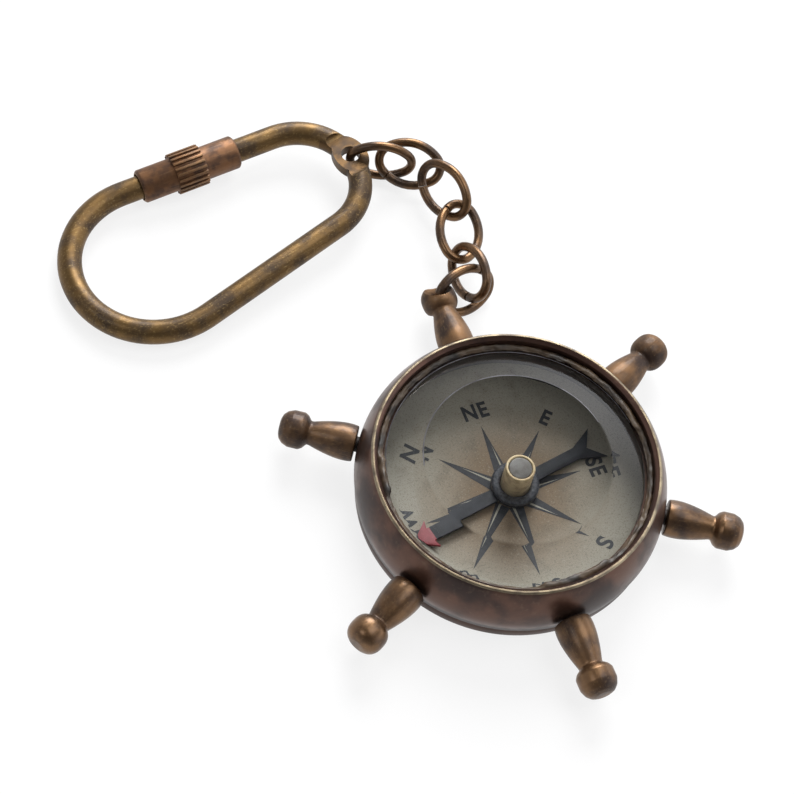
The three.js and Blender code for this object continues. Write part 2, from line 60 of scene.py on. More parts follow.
WELD = 2e-6
UNMOVED = Matrix.Identity(4)
JOINTS = {joint["name"]: joint for joint in frame["joints"]}
MOVEMENT = Vector((*JOINTS["needle_turn"]["pos_m"][:2], 0)) / MM
DIRECTIONS = ("N", "NE", "E", "SE", "S", "SW", "W", "NW")
HANDLE_HEIGHT = 3.9
HANDLE_START = 90
HANDLE_STEP = 60
HANDLE_SCATTER = (-0.4, -2.1, -0.2, 1.7, 1.7, -0.7)
HANDLE_ANGLES = tuple(HANDLE_START - HANDLE_STEP * order + off for order, off in enumerate(HANDLE_SCATTER))

Colour = tuple[float, float, float, float]
Point = tuple[float, float]
Outline = Sequence[Point]
FaceTest = Callable[[Vector, Vector], bool]
# A rounding is its width in mm, its facets, and the angle in degrees from which edges get it.
Rounding = tuple[float, int, float]
# A mottle is the noise's detail and the two levels that it is cut between.
Mottle = tuple[float, float, float]
Feed = object


class Slot(str, Enum):
    """The record's material slots."""

    CASE = "case_bronze"
    HANDLE = "handle_brass"
    CHAIN = "chain_bronze"
    RING = "ring_bronze"
    SLEEVE = "sleeve_bronze"
    CAP = "cap_brass"
    NEEDLE = "needle_steel"
    DIAL = "dial_card"
    CEMENT = "cement"
    GLASS = "glass"


class Body(str, Enum):
    """The rigid bodies that pieces ride on, apart from the numbered links."""

    COMPASS = "compass"
    NEEDLE = "needle"
    RING = "ring"
    SLEEVE = "sleeve"


class KnobShape(Enum):
    """The two ways that the spokes' knobs are turned."""

    ROUND = "round"
    BANDED = "banded"


def linear(red: int, green: int, blue: int) -> Colour:
    """Turns a screen colour into the linear one that shaders take.

    Args:
        red: Red, 0 to 255.
        green: Green, 0 to 255.
        blue: Blue, 0 to 255.

    Returns:
        The linear colour with full alpha.
    """
    shares = [value / 255 for value in (red, green, blue)]
    curved = [share / 12.92 if share <= 0.04045 else ((share + 0.055) / 1.055) ** 2.4 for share in shares]
    return (curved[0], curved[1], curved[2], 1.0)


class Wire:
    """An output of a shader node, with arithmetic that lays Math nodes."""

    def __init__(self, graph: "Graph", socket: bpy.types.NodeSocket) -> None:
        """Keeps the socket and the graph that it belongs to."""
        self.graph = graph
        self.socket = socket

    def maths(self, operation: str, first: Feed, second: Feed) -> "Wire":
        """Lays one Math node.

        Args:
            operation: The Math node's operation.
            first: A wire or a number.
            second: A wire or a number.

        Returns:
            The node's output.
        """
        return self.graph.node("ShaderNodeMath", {"operation": operation}, {0: first, 1: second})

    def __add__(self, other: Feed) -> "Wire":
        """Adds a wire or a number."""
        return self.maths("ADD", self, other)

    def __radd__(self, other: Feed) -> "Wire":
        """Adds to a number."""
        return self.maths("ADD", other, self)

    def __sub__(self, other: Feed) -> "Wire":
        """Takes a wire or a number off."""
        return self.maths("SUBTRACT", self, other)

    def __rsub__(self, other: Feed) -> "Wire":
        """Takes this off a number."""
        return self.maths("SUBTRACT", other, self)

    def __mul__(self, other: Feed) -> "Wire":
        """Multiplies by a wire or a number."""
        return self.maths("MULTIPLY", self, other)

    def __rmul__(self, other: Feed) -> "Wire":
        """Multiplies a number."""
        return self.maths("MULTIPLY", other, self)


class Graph:
    """A node tree that finishes are drawn in."""

    def __init__(self, tree: bpy.types.NodeTree) -> None:
        """Starts with an empty tree."""
        self.tree = tree
        tree.nodes.clear()

    def node(
        self,
        kind: str,
        settings: dict[str, object] | None = None,
        sockets: dict[str | int, Feed] | None = None,
        output: str | int = 0,
    ) -> Wire:
        """Adds a node.

        Args:
            kind: The node's type.
            settings: Its settings, set before the sockets.
            sockets: The values or wires of its sockets.
            output: The output that is wanted.

        Returns:
            That output.
        """
        made = self.tree.nodes.new(kind)
        for name, value in (settings or {}).items():
            setattr(made, name, value)
        for name, value in (sockets or {}).items():
            if isinstance(value, Wire):
                self.tree.links.new(value.socket, made.inputs[name])
            else:
                made.inputs[name].default_value = value
        return Wire(self, made.outputs[output])

    def place(self) -> Wire:
        """Gives the piece's own coordinates."""
        return self.node("ShaderNodeTexCoord", output="Object")

    def noise(self, grain: float, detail: float = 4.0, where: Wire | None = None) -> Wire:
        """Lays cloudy noise.

        Args:
            grain: Size of its lumps in mm.
            detail: How many finer layers it has.
            where: Coordinates to use in place of the piece's own.

        Returns:
            The noise, about 0.5 in the mean.
        """
        sockets = {"Vector": where or self.place(), "Scale": 1 / (grain * MM), "Detail": detail}
        return self.node("ShaderNodeTexNoise", None, sockets)

    def drawn_out(self, heading: float, length: float, width: float, detail: float = 3.0) -> Wire:
        """Lays noise in long streaks.

        Args:
            heading: Direction of the streaks about Z, in degrees.
            length: Their length in mm.
            width: Their width in mm.
            detail: How many finer layers they have.

        Returns:
            The streaked noise.
        """
        headed = {"Vector": self.place(), "Rotation": (0, 0, -math.radians(heading))}
        squeezed = {"Vector": self.node("ShaderNodeMapping", None, headed), "Scale": (width / length, 1, 1)}
        return self.noise(width, detail, self.node("ShaderNodeMapping", None, squeezed))

    def spread(self, value: Wire, low: float, high: float) -> Wire:
        """Stretches the part of a value between two levels to 0 and 1.

        Args:
            value: The value.
            low: What becomes 0.
            high: What becomes 1.

        Returns:
            The stretched value, kept between 0 and 1.
        """
        settings = {"interpolation_type": "SMOOTHSTEP"}
        return self.node("ShaderNodeMapRange", settings, {"Value": value, "From Min": low, "From Max": high})

    def patches(self, grain: float, mottle: Mottle) -> Wire:
        """Lays noise of a grain in mm, cut to patches."""
        detail, low, high = mottle
        return self.spread(self.noise(grain, detail), low, high)

    def mixed(self, share: Feed, first: Feed, second: Feed) -> Wire:
        """Mixes two colours.

        Args:
            share: Share of the second colour.
            first: First colour.
            second: Second colour.

        Returns:
            The mixed colour.
        """
        return self.node("ShaderNodeMix", {"data_type": "RGBA"}, {0: share, 6: first, 7: second}, 2)

    def bump(self, height: Wire, depth: float) -> Wire:
        """Turns a height into a normal.

        Args:
            height: The height, 0 to 1.
            depth: Its full depth in mm.

        Returns:
            The normal.
        """
        return self.node("ShaderNodeBump", None, {"Strength": 1.0, "Distance": depth * MM, "Height": height})

    def principled(self, **sockets: Feed) -> Wire:
        """Adds the main shader.

        Args:
            **sockets: Its sockets by name, with underscores for spaces.

        Returns:
            The shader.
        """
        named = {name.replace("_", " "): value for name, value in sockets.items()}
        return self.node("ShaderNodeBsdfPrincipled", None, named)

    def close(self, shader: Wire, kind: str = "ShaderNodeOutputMaterial") -> None:
        """Ties a shader to the tree's output.

        Args:
            shader: The shader.
            kind: Type of the output node.
        """
        self.tree.links.new(shader.socket, self.tree.nodes.new(kind).inputs["Surface"])


def new_material(name: str) -> tuple[bpy.types.Material, Graph]:
    """Makes an empty node material.

    Args:
        name: Its name.

    Returns:
        The material and its graph.
    """
    material = bpy.data.materials.new(name)
    material.use_nodes = True
    return material, Graph(material.node_tree)


@dataclass(frozen=True)
class AgedMetal:
    """Antiqued bronze: dark patina in clouds, brown metal, bright brass where it is rubbed, and painted
    shade that can darken it towards the bottom.
    """

    name: str
    dark: Colour
    brown: Colour
    bright: Colour
    cloud: float = 5.0
    rubbed: float = 0.0
    flecked: float = 0.2
    streaked: float = 0.0
    heading: float = 0.0
    low_shade_top: float = 0.0
    roughness: float = 0.3
    lacquer: float = 0.3
    metal: float = 0.9
    clouds: Mottle = (6.0, 0.36, 0.7)
    flecks: Mottle = (4.0, 0.5, 0.74)
    fleck_grain: float = 0.1
    fleck_height: float = 0.15
    edges: tuple[float, float] = (0.52, 0.6)
    streaks: tuple[float, float] = (0.52, 0.76)
    streak_size: tuple[float, float] = (9.0, 0.15)
    streak_height: float = 0.5
    low_shade_fade: float = 1.6
    low_shade_cover: float = 1.1
    patina_dulls: float = 0.4
    patina_roughens: float = 0.12
    fleck_roughens: float = 0.08
    relief: float = 0.012
    lacquer_roughness: float = 0.16

    def material(self) -> bpy.types.Material:
        """Draws the finish.

        Returns:
            The material.
        """
        material, graph = new_material(self.name)
        patina = graph.patches(self.cloud, self.clouds)
        fleck = graph.patches(self.cloud * self.fleck_grain, self.flecks)
        rub = fleck * self.flecked
        height = fleck * self.fleck_height
        if self.rubbed:
            edge = graph.spread(graph.node("ShaderNodeNewGeometry", output="Pointiness"), *self.edges)
            rub = rub + edge * self.rubbed
        if self.streaked:
            streak = graph.spread(graph.drawn_out(self.heading, *self.streak_size), *self.streaks)
            rub = rub + streak * self.streaked
            height = height + streak * self.streak_height
        # Painted shade: below a set height the patina is raised, so the metal gets darker towards the
        # bottom, standing for the shadowed floor that the low wall reflects.
        if self.low_shade_top:
            level = graph.node("ShaderNodeSeparateXYZ", None, {0: graph.place()}, "Z")
            low_shade = 1 - graph.spread(level, (self.low_shade_top - self.low_shade_fade) * MM, self.low_shade_top * MM)
            patina = graph.spread(patina + low_shade * self.low_shade_cover, 0.0, 1.0)
        colour = graph.mixed(patina, self.brown, self.dark)
        colour = graph.mixed(graph.spread(rub, 0.0, 1.0), colour, self.bright)
        shader = graph.principled(
            Base_Color=colour,
            Metallic=(1 - patina * self.patina_dulls) * self.metal,
            Roughness=self.roughness + patina * self.patina_roughens + fleck * self.fleck_roughens,
            Normal=graph.bump(height, self.relief),
            Coat_Weight=self.lacquer,
            Coat_Roughness=self.lacquer_roughness,
        )
        graph.close(shader)
        return material


@dataclass(frozen=True)
class PlainCoat:
    """An even finish with a faint cloud in its colour."""

    name: str
    colour: Colour
    shade: Colour
    cloud: float = 2.0
    metallic: float = 0.0
    roughness: float = 0.5
    clouds: Mottle = (4.0, 0.35, 0.7)

    def material(self) -> bpy.types.Material:
        """Draws the finish.

        Returns:
            The material.
        """
        material, graph = new_material(self.name)
        shader = graph.principled(
            Base_Color=graph.mixed(graph.patches(self.cloud, self.clouds), self.colour, self.shade),
            Metallic=self.metallic,
            Roughness=self.roughness,
        )
        graph.close(shader)
        return material


@dataclass(frozen=True)
class SpeckledCard:
    """The dial's printed card: brownish in the middle, paler outside, with fine specks."""

    name: str
    middle: Colour
    outside: Colour
    speck: Colour
    dust: Colour
    centre: tuple[float, float, float]
    reach: float
    fade: tuple[float, float] = (0.45, 1.1)
    wander: float = 0.35
    wander_grain: float = 6.0
    speck_grain: float = 0.22
    specks: Mottle = (4.0, 0.5, 0.7)
    speck_share: float = 0.4
    stain_grain: float = 2.6
    stains: Mottle = (5.0, 0.5, 0.75)
    stain_share: float = 0.25
    dust_grain: float = 0.2
    dust_spots: Mottle = (2.0, 0.6, 0.72)
    dust_share: float = 0.3
    roughness: float = 0.6
    sheen: float = 0.3

    def material(self) -> bpy.types.Material:
        """Draws the finish.

        Returns:
            The material.
        """
        material, graph = new_material(self.name)
        ends = {0: graph.place(), 1: self.centre}
        away = graph.node("ShaderNodeVectorMath", {"operation": "DISTANCE"}, ends, "Value")
        away = away * (1 / self.reach) + graph.noise(self.wander_grain) * self.wander
        colour = graph.mixed(graph.spread(away, *self.fade), self.middle, self.outside)
        specks = graph.patches(self.speck_grain, self.specks) * self.speck_share
        stains = graph.patches(self.stain_grain, self.stains) * self.stain_share
        dust = graph.patches(self.dust_grain, self.dust_spots) * self.dust_share
        colour = graph.mixed(specks + stains, colour, self.speck)
        colour = graph.mixed(dust, colour, self.dust)
        shader = graph.principled(Base_Color=colour, Roughness=self.roughness, Specular_IOR_Level=self.sheen)
        graph.close(shader)
        return material


@dataclass(frozen=True)
class ClearGlass:
    """Polished glass that lets lamp light through to what is under it."""

    name: str
    tint: Colour
    index: float = 1.5

    def material(self) -> bpy.types.Material:
        """Draws the finish.

        Returns:
            The material.
        """
        material, graph = new_material(self.name)
        glass = graph.principled(
            Base_Color=self.tint,
            Roughness=0.0,
            IOR=self.index,
            Transmission_Weight=1.0,
        )
        clear = graph.node("ShaderNodeBsdfTransparent")
        shadow = graph.node("ShaderNodeLightPath", output="Is Shadow Ray")
        graph.close(graph.node("ShaderNodeMixShader", None, {0: shadow, 1: glass, 2: clear}))
        return material


def deselect() -> None:
    """Leaves edit mode and selects nothing."""
    if bpy.context.object and bpy.context.object.mode != "OBJECT":
        bpy.ops.object.mode_set(mode="OBJECT")
    bpy.ops.object.select_all(action="DESELECT")


def take(piece: bpy.types.Object) -> None:
    """Selects one piece alone and makes it active.

    Args:
        piece: The piece.
    """
    deselect()
    piece.select_set(True)
    bpy.context.view_layer.objects.active = piece


def edit(piece: bpy.types.Object, mode: str = "VERT") -> None:
    """Opens a piece in edit mode with all of it selected.

    Args:
        piece: The piece.
        mode: What is selected: VERT, EDGE or FACE.
    """
    take(piece)
    bpy.ops.object.mode_set(mode="EDIT")
    bpy.ops.mesh.select_mode(type=mode)
    bpy.ops.mesh.select_all(action="SELECT")


def select_faces(piece: bpy.types.Object, test: FaceTest) -> None:
    """Selects faces by place or normal and leaves the piece in edit mode.

    Args:
        piece: The piece.
        test: Takes a face's middle in mm and its normal, and says whether it is selected.
    """
    edit(piece, "FACE")
    bpy.ops.mesh.select_all(action="DESELECT")
    bpy.ops.object.mode_set(mode="OBJECT")
    for face in piece.data.polygons:
        face.select = test(face.center / MM, face.normal)
    bpy.ops.object.mode_set(mode="EDIT")


def close_up() -> None:
    """Merges the edited piece's doubles, points its faces outwards and leaves edit mode."""
    bpy.ops.mesh.select_all(action="SELECT")
    bpy.ops.mesh.remove_doubles(threshold=WELD)
    bpy.ops.mesh.normals_make_consistent(inside=False)
    bpy.ops.object.mode_set(mode="OBJECT")


def sort_vertices(place: Vector) -> None:
    """Puts the selected vertices in order of their distance from a place, with the cursor there meanwhile.

    Args:
        place: The place in mm, with no two of them equally far from it.
    """
    cursor = bpy.context.scene.cursor
    cursor.location = place * MM
    bpy.ops.mesh.sort_elements(type="CURSOR_DISTANCE", elements={"VERT"})
    cursor.location = (0, 0, 0)


def drawn(name: str, points: Sequence[Vector], closed: bool) -> bpy.types.Object:
    """Draws a line of edges by extruding one vertex, and stays in edit mode.

    Args:
        name: The piece's name.
        points: The line's points in mm.
        closed: Whether the line runs back to its start.

    Returns:
        The piece.
    """
    deselect()
    bpy.ops.mesh.primitive_plane_add(size=MM)
    piece = bpy.context.object
    piece.name = name
    edit(piece)
    bpy.ops.mesh.merge(type="CENTER")
    bpy.ops.transform.translate(value=points[0] * MM)
    route = [*points, points[0]] if closed else list(points)
    for before, after in zip(route, route[1:]):
        bpy.ops.mesh.extrude_region_move(TRANSFORM_OT_translate={"value": (after - before) * MM})
    bpy.ops.mesh.select_all(action="SELECT")
    bpy.ops.mesh.remove_doubles(threshold=WELD)
    return piece


def turned(name: str, profile: Outline, steps: int, closed: bool = False) -> bpy.types.Object:
    """Turns a profile about Z.

    Args:
        name: The piece's name.
        profile: Pairs of radius and height in mm.
        steps: Facets round the axis.
        closed: Whether the profile is a closed ring.

    Returns:
        The turned piece.
    """
    piece = drawn(name, [Vector((radius, 0, height)) for radius, height in profile], closed)
    bpy.ops.mesh.select_all(action="SELECT")
    bpy.ops.mesh.spin(steps=steps, angle=2 * math.pi, center=(0, 0, 0), axis=(0, 0, 1))
    close_up()
    return piece


def peg(name: str, radius: float, bottom: float, top: float, steps: int) -> bpy.types.Object:
    """Turns a round peg to drill or punch with, with its heights in mm."""
    return turned(name, [(0, bottom), (radius, bottom), (radius, top), (0, top)], steps)


def plate(name: str, outline: Outline, bottom: float, thickness: float) -> bpy.types.Object:
    """Makes a flat plate from its outline.

    Args:
        name: The piece's name.
        outline: Points in the XY plane, in mm.
        bottom: Height of its underside in mm.
        thickness: Its thickness in mm.

    Returns:
        The plate.
    """
    piece = drawn(name, [Vector((x, y, bottom)) for x, y in outline], True)
    bpy.ops.mesh.select_all(action="SELECT")
    bpy.ops.mesh.edge_face_add()
    bpy.ops.mesh.extrude_region_move(TRANSFORM_OT_translate={"value": (0, 0, thickness * MM)})
    close_up()
    return piece


def soften(piece: bpy.types.Object, width: float, segments: int = 2, angle: float = 30) -> None:
    """Rounds a piece's sharp edges with a bevel.

    Args:
        piece: The piece.
        width: The bevel's width in mm.
        segments: Its facets.
        angle: Edges sharper than this, in degrees, are rounded.
    """
    take(piece)
    bevel = piece.modifiers.new("rounding", "BEVEL")
    bevel.width = width * MM
    bevel.segments = segments
    bevel.limit_method = "ANGLE"
    bevel.angle_limit = math.radians(angle)
    bpy.ops.object.modifier_apply(modifier=bevel.name)


def combine(piece: bpy.types.Object, tool: bpy.types.Object, operation: str) -> None:
    """Cuts a tool out of a piece or joins it on, and removes the tool.

    Args:
        piece: The piece.
        tool: The tool.
        operation: DIFFERENCE or UNION.
    """
    take(piece)
    joint = piece.modifiers.new("fitting", "BOOLEAN")
    joint.object = tool
    joint.operation = operation
    joint.solver = "EXACT"
    bpy.ops.object.modifier_apply(modifier=joint.name)
    bpy.data.objects.remove(tool)


def lay(piece: bpy.types.Object, lie: Matrix) -> None:
    """Puts a piece's place into its mesh.

    Args:
        piece: The piece, at the origin.
        lie: Where it goes, in mm.
    """
    take(piece)
    metres = lie.copy()
    metres.translation = lie.translation * MM
    piece.matrix_world = metres
    bpy.ops.object.transform_apply(location=True, rotation=True, scale=True)


def copied(piece: bpy.types.Object, name: str) -> bpy.types.Object:
    """Copies a piece with a mesh of its own.

    Args:
        piece: The piece.
        name: The copy's name.

    Returns:
        The copy.
    """
    take(piece)
    bpy.ops.object.duplicate()
    copy = bpy.context.object
    copy.name = name
    return copy


def joined(pieces: Sequence[bpy.types.Object]) -> bpy.types.Object:
    """Joins pieces into the first one.

    Args:
        pieces: The pieces.

    Returns:
        The first one, with all of them in its mesh.
    """
    take(pieces[0])
    for piece in pieces[1:]:
        piece.select_set(True)
    bpy.ops.object.join()
    return pieces[0]


def settle(
    piece: bpy.types.Object,
    body: str,
    materials: Sequence[bpy.types.Material],
    node: str | None = None,
    angle: float = 30,
) -> None:
    """Shades a piece, dresses it and ties it to the frame.

    Args:
        piece: The piece, in place.
        body: The body it rides on.
        materials: Its materials, the main one first.
        node: The solid that it stands for.
        angle: Edges sharper than this, in degrees, stay sharp.
    """
    take(piece)
    bpy.ops.object.shade_smooth_by_angle(angle=math.radians(angle))
    piece.data.materials.clear()
    for material in materials:
        piece.data.materials.append(material)
    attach(piece, body)
    if node:
        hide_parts(node)
    LOG.info("%s: %d faces on %s", piece.name, len(piece.data.polygons), body)


def paint_faces(piece: bpy.types.Object, index: int, test: FaceTest, lie: Matrix = UNMOVED) -> None:
    """Gives some faces another of the piece's materials.

    Args:
        piece: The piece, already settled.
        index: Number of the material.
        test: Takes a face's middle in mm and its normal, and says whether it is painted.
        lie: The frame that both are given in.
    """
    back = lie.inverted()
    for face in piece.data.polygons:
        if test(back @ (face.center / MM), back.to_3x3() @ face.normal):
            face.material_index = index


def axes(origin: Vector, along: Vector, up: Vector) -> Matrix:
    """Makes a frame from a place and two directions.

    Args:
        origin: Its origin in mm.
        along: Direction of its X axis.
        up: Direction near its Z axis.

    Returns:
        The frame.
    """
    x_axis = along.normalized()
    y_axis = up.cross(x_axis).normalized()
    z_axis = x_axis.cross(y_axis)
    lie = Matrix((x_axis, y_axis, z_axis)).transposed().to_4x4()
    lie.translation = origin
    return lie


def spoke_lie(angle: float, distance: float) -> Matrix:
    """Gives a frame on a spoke's axis, with Z outwards.

    Args:
        angle: The spoke's direction in degrees.
        distance: Distance from the case's axis in mm.

    Returns:
        The frame.
    """
    out = Vector((math.cos(math.radians(angle)), math.sin(math.radians(angle)), 0))
    place = out * distance + Vector((0, 0, HANDLE_HEIGHT))
    return axes(place, out.cross(Vector((0, 0, 1))), out)


def loop_lie(node: str, far: Vector) -> Matrix:
    """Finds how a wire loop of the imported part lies.

    Args:
        node: The loop's solid.
        far: Middle of its far end in mm.

    Returns:
        Its frame: middle, long axis towards the far end, and normal turned upwards.
    """
    points = np.array([vertex.co for vertex in frame["nodes"][node].data.vertices]) / MM
    middle = (points.min(0) + points.max(0)) / 2
    normal = Vector(np.linalg.svd(points - middle, full_matrices=False)[2][2])
    if normal.z < 0:
        normal.negate()
    along = far - Vector(middle)
    along = along - normal * along.dot(normal)
    return axes(Vector(middle), along, normal)


def bow(centre: Point, radius: float, start: float, end: float, steps: int) -> list[Point]:
    """Gives points on an arc.

    Args:
        centre: The arc's centre in mm.
        radius: Its radius in mm.
        start: First angle in degrees.
        end: Last angle in degrees.
        steps: Steps between them.

    Returns:
        The points.
    """
    turns = [math.radians(start + (end - start) * step / steps) for step in range(steps + 1)]
    return [(centre[0] + radius * math.cos(turn), centre[1] + radius * math.sin(turn)) for turn in turns]


def rod_start(name: str, place: Vector, direction: Vector, radius: float, sides: int) -> bpy.types.Object:
    """Starts a round rod with its first end face, and stays in edit mode.

    Args:
        name: The piece's name.
        place: Middle of the end face in mm.
        direction: The way the rod runs.
        radius: The rod's radius in mm.
        sides: Facets round it.

    Returns:
        The piece.
    """
    deselect()
    bpy.ops.mesh.primitive_circle_add(
        vertices=sides,
        radius=radius * MM,
        fill_type="NGON",
        location=place * MM,
        rotation=direction.to_track_quat("Z", "Y").to_euler(),
    )
    piece = bpy.context.object
    piece.name = name
    bpy.ops.object.transform_apply(location=True, rotation=True, scale=True)
    edit(piece, "FACE")
    return piece


def rod_bend(centre: Point, turn: float, steps: int) -> None:
    """Leads the rod's end face round an arc in the XY plane.

    Args:
        centre: The arc's centre in mm.
        turn: Angle in degrees, counter-clockwise. The spin operator counts the other way.
        steps: Facets along the arc.
    """
    bpy.ops.mesh.spin(
        steps=steps,
        angle=-math.radians(turn),
        center=(centre[0] * MM, centre[1] * MM, 0),
        axis=(0, 0, 1),
    )


def rod_run(step: Vector) -> None:
    """Draws the rod's end face on along a straight, with a ring of edges about every millimetre.

    Args:
        step: The straight in mm.
    """
    rings = max(1, round(step.length))
    for _ in range(rings):
        bpy.ops.mesh.extrude_region_move(TRANSFORM_OT_translate={"value": step * MM / rings})


BRONZE = AgedMetal(
    name="mottled_bronze",
    dark=linear(46, 31, 27),
    brown=linear(94, 70, 60),
    bright=linear(152, 130, 108),
    cloud=7.0,
    # Painted shade: the wall is darkened below 3.6 mm.
    low_shade_top=3.6,
    lacquer=0.06,
)
# Painted shade: the back pan gets a darker copy of the wall's bronze, standing for the shadowed floor that
# it reflects near the ground.
SHADED_PAN_BRONZE = replace(BRONZE, name="pan_bronze", brown=linear(74, 56, 49), low_shade_top=0.0, lacquer=0.0)
SPOKE_BRASS = AgedMetal(
    name="spoke_brass",
    dark=linear(52, 36, 27),
    brown=linear(116, 88, 62),
    bright=linear(168, 139, 98),
    cloud=3.2,
    flecked=0.2,
    streaked=0.3,
    lacquer=0.16,
)
CHAIN_BRONZE = AgedMetal(
    name="chain_bronze",
    dark=linear(54, 39, 28),
    brown=linear(110, 82, 55),
    bright=linear(166, 136, 96),
    cloud=3.0,
    lacquer=0.15,
)
RING_BRONZE = AgedMetal(
    name="ring_bronze",
    dark=linear(60, 44, 26),
    brown=linear(108, 84, 51),
    bright=linear(166, 140, 94),
    cloud=3.0,
    flecked=0.42,
    streaked=0.35,
    heading=16,
    roughness=0.42,
    lacquer=0.08,
)
SLEEVE_BRONZE = AgedMetal(
    name="sleeve_bronze",
    dark=linear(66, 44, 31),
    brown=linear(116, 83, 58),
    bright=linear(168, 134, 97),
    cloud=1.8,
    rubbed=0.4,
    streaked=0.3,
    heading=9,
    roughness=0.48,
    lacquer=0.06,
)
CAP_BRASS = AgedMetal(
    name="cap_brass",
    dark=linear(190, 164, 124),
    brown=linear(236, 214, 172),
    bright=linear(248, 236, 206),
    cloud=1.0,
    rubbed=0.6,
    metal=0.2,
)
LIP_BRASS = AgedMetal(
    name="lip_brass",
    dark=linear(84, 72, 58),
    brown=linear(146, 132, 108),
    bright=linear(196, 182, 152),
    cloud=2.0,
)
# A darker, unlacquered copy of the ring's bronze for the flattened eye; its darker colour is painted shade,
# standing for the dark reflection in the flats.
SHADED_EYE_BRONZE = AgedMetal(
    name="eye_bronze",
    dark=linear(62, 47, 33),
    brown=linear(90, 70, 48),
    bright=linear(120, 96, 66),
    cloud=2.0,
    flecked=0.0,
    roughness=0.4,
    lacquer=0.0,
    metal=1.0,
)
DIAL_CARD = SpeckledCard(
    name="speckled_card",
    middle=linear(134, 114, 91),
    outside=linear(172, 166, 152),
    speck=linear(88, 81, 70),
    dust=linear(192, 188, 174),
    centre=tuple(MOVEMENT * MM),
    reach=15 * MM,
)
INNER_WALL = PlainCoat("inner_wall", linear(70, 66, 67), linear(50, 46, 46), 3.0, 0.3, 0.45)
BLUED_STEEL = PlainCoat("blued_steel", linear(46, 48, 55), linear(36, 38, 43), 1.5, 0.3, 0.4)
COLLAR_STEEL = PlainCoat("collar_steel", linear(92, 94, 100), linear(58, 60, 66), 0.35, 0.4, 0.3)
RED_LACQUER = PlainCoat("red_lacquer", linear(162, 46, 60), linear(144, 38, 50), 1.2, 0.0, 0.45)
PRINT_INK = PlainCoat("print_ink", linear(34, 36, 43), linear(46, 48, 55), 0.4, 0.0, 0.6)
PALE_PRINT = PlainCoat("pale_print", linear(176, 172, 158), linear(160, 154, 138), 0.4, 0.0, 0.6)
# Painted shade: the handles' studs are made near black, standing for the shade in the gap between each
# handle and the wall.
STUD_SHADE = PlainCoat("stud_grime", linear(40, 31, 26), linear(28, 22, 19), 1.0, 0.2, 0.6)
OLD_CEMENT = PlainCoat("old_cement", linear(80, 64, 46), linear(30, 25, 21), 3.0, 0.0, 0.5)
# Painted glint: a pale matte finish that stands for thin arcs of reflected light on the glass's rounded
# edges.
GLINT_EDGE = PlainCoat("ground_edge", linear(226, 224, 228), linear(150, 146, 150), 4.0, 0.0, 0.3)
CRYSTAL_GLASS = ClearGlass("crystal_glass", linear(247, 249, 248))
LENS_COAT = PlainCoat("lens_coat", linear(150, 148, 146), linear(124, 120, 116), 1.2, 0.3, 0.2)


@dataclass
class Case:
    """The turned case wall with its lip, and the pan that closes it from below."""

    radius: float = 20.0
    height: float = 10.1
    belly: float = 4.0
    foot: float = 2.1
    foot_inset: float = 0.25
    lip_inset: float = 1.65
    lip_width: float = 0.85
    lip_round: float = 0.2
    lip_slope: float = 0.45
    ledge: float = 6.9
    ledge_width: float = 1.0
    floor: float = 0.9
    pan_radius: float = 19.6
    pan_height: float = 1.8
    pan_floor: float = 0.6
    pan_rim: float = 1.2
    pan_round: float = 0.35
    spigot_gap: float = 0.25
    bore: float = 1.25
    bore_depth: float = 2.15
    bore_sides: int = 24
    nose_steps: int = 10
    pan_sweep: float = 60.0
    pan_steps: int = 4
    edge: float = 0.1
    skin: float = 0.02
    inward: float = -0.2
    segments: int = 144

    def build(self) -> None:
        """Makes and dresses both pieces."""
        self.wall()
        self.pan()

    def wall(self) -> None:
        """Turns the wall and drills it for the handles."""
        lip = self.radius - self.lip_inset
        inner = lip - self.lip_width
        cavity = inner - self.ledge_width
        spigot = self.pan_radius - self.pan_rim - self.spigot_gap
        rise = self.height - self.lip_round - self.belly
        nose = (self.lip_inset**2 + rise**2) / (2 * self.lip_inset)
        sweep = math.degrees(math.asin(rise / nose))
        profile = [
            (cavity, self.floor),
            (spigot, self.floor),
            (spigot, self.foot),
            (self.radius - self.foot_inset, self.foot),
            *bow((self.radius - nose, self.belly), nose, 0, sweep, self.nose_steps),
            (lip - self.lip_round, self.height),
            (inner + self.lip_slope, self.height),
            (inner, self.height - self.lip_slope),
            (inner, self.ledge),
            (cavity, self.ledge),
        ]
        wall = turned("case_body", profile, self.segments, closed=True)
        for angle in HANDLE_ANGLES:
            drill = peg("wall_drill", self.bore, 0, 2 * self.bore_depth, self.bore_sides)
            lay(drill, spoke_lie(angle, self.radius - self.bore_depth))
            combine(wall, drill, "DIFFERENCE")
        soften(wall, self.edge)
        materials = [BRONZE.material(), INNER_WALL.material(), LIP_BRASS.material()]
        settle(wall, Body.COMPASS.value, materials, "case_ring")
        inside = cavity + self.skin
        crest = self.height - self.lip_round
        paint_faces(wall, 1, lambda middle, normal: middle.xy.length < inside and middle.z < self.ledge)
        paint_faces(
            wall,
            2,
            lambda middle, normal: middle.z > crest and middle.xy.dot(normal.xy) > self.inward,
        )

    def pan(self) -> None:
        """Turns the back pan."""
        rim = self.pan_radius - self.pan_rim
        foot = self.pan_radius - self.pan_round
        profile = [
            (0, 0),
            (foot, 0),
            *bow((foot, self.pan_round), self.pan_round, -self.pan_sweep, 0, self.pan_steps),
            (self.pan_radius, self.pan_height),
            (rim, self.pan_height),
            (rim, self.pan_floor),
            (0, self.pan_floor),
        ]
        pan = turned("back_pan", profile, self.segments)
        soften(pan, self.edge)
        # The pan's darker bronze is painted shade.
        settle(pan, Body.COMPASS.value, [SHADED_PAN_BRONZE.material()], "back_cover")


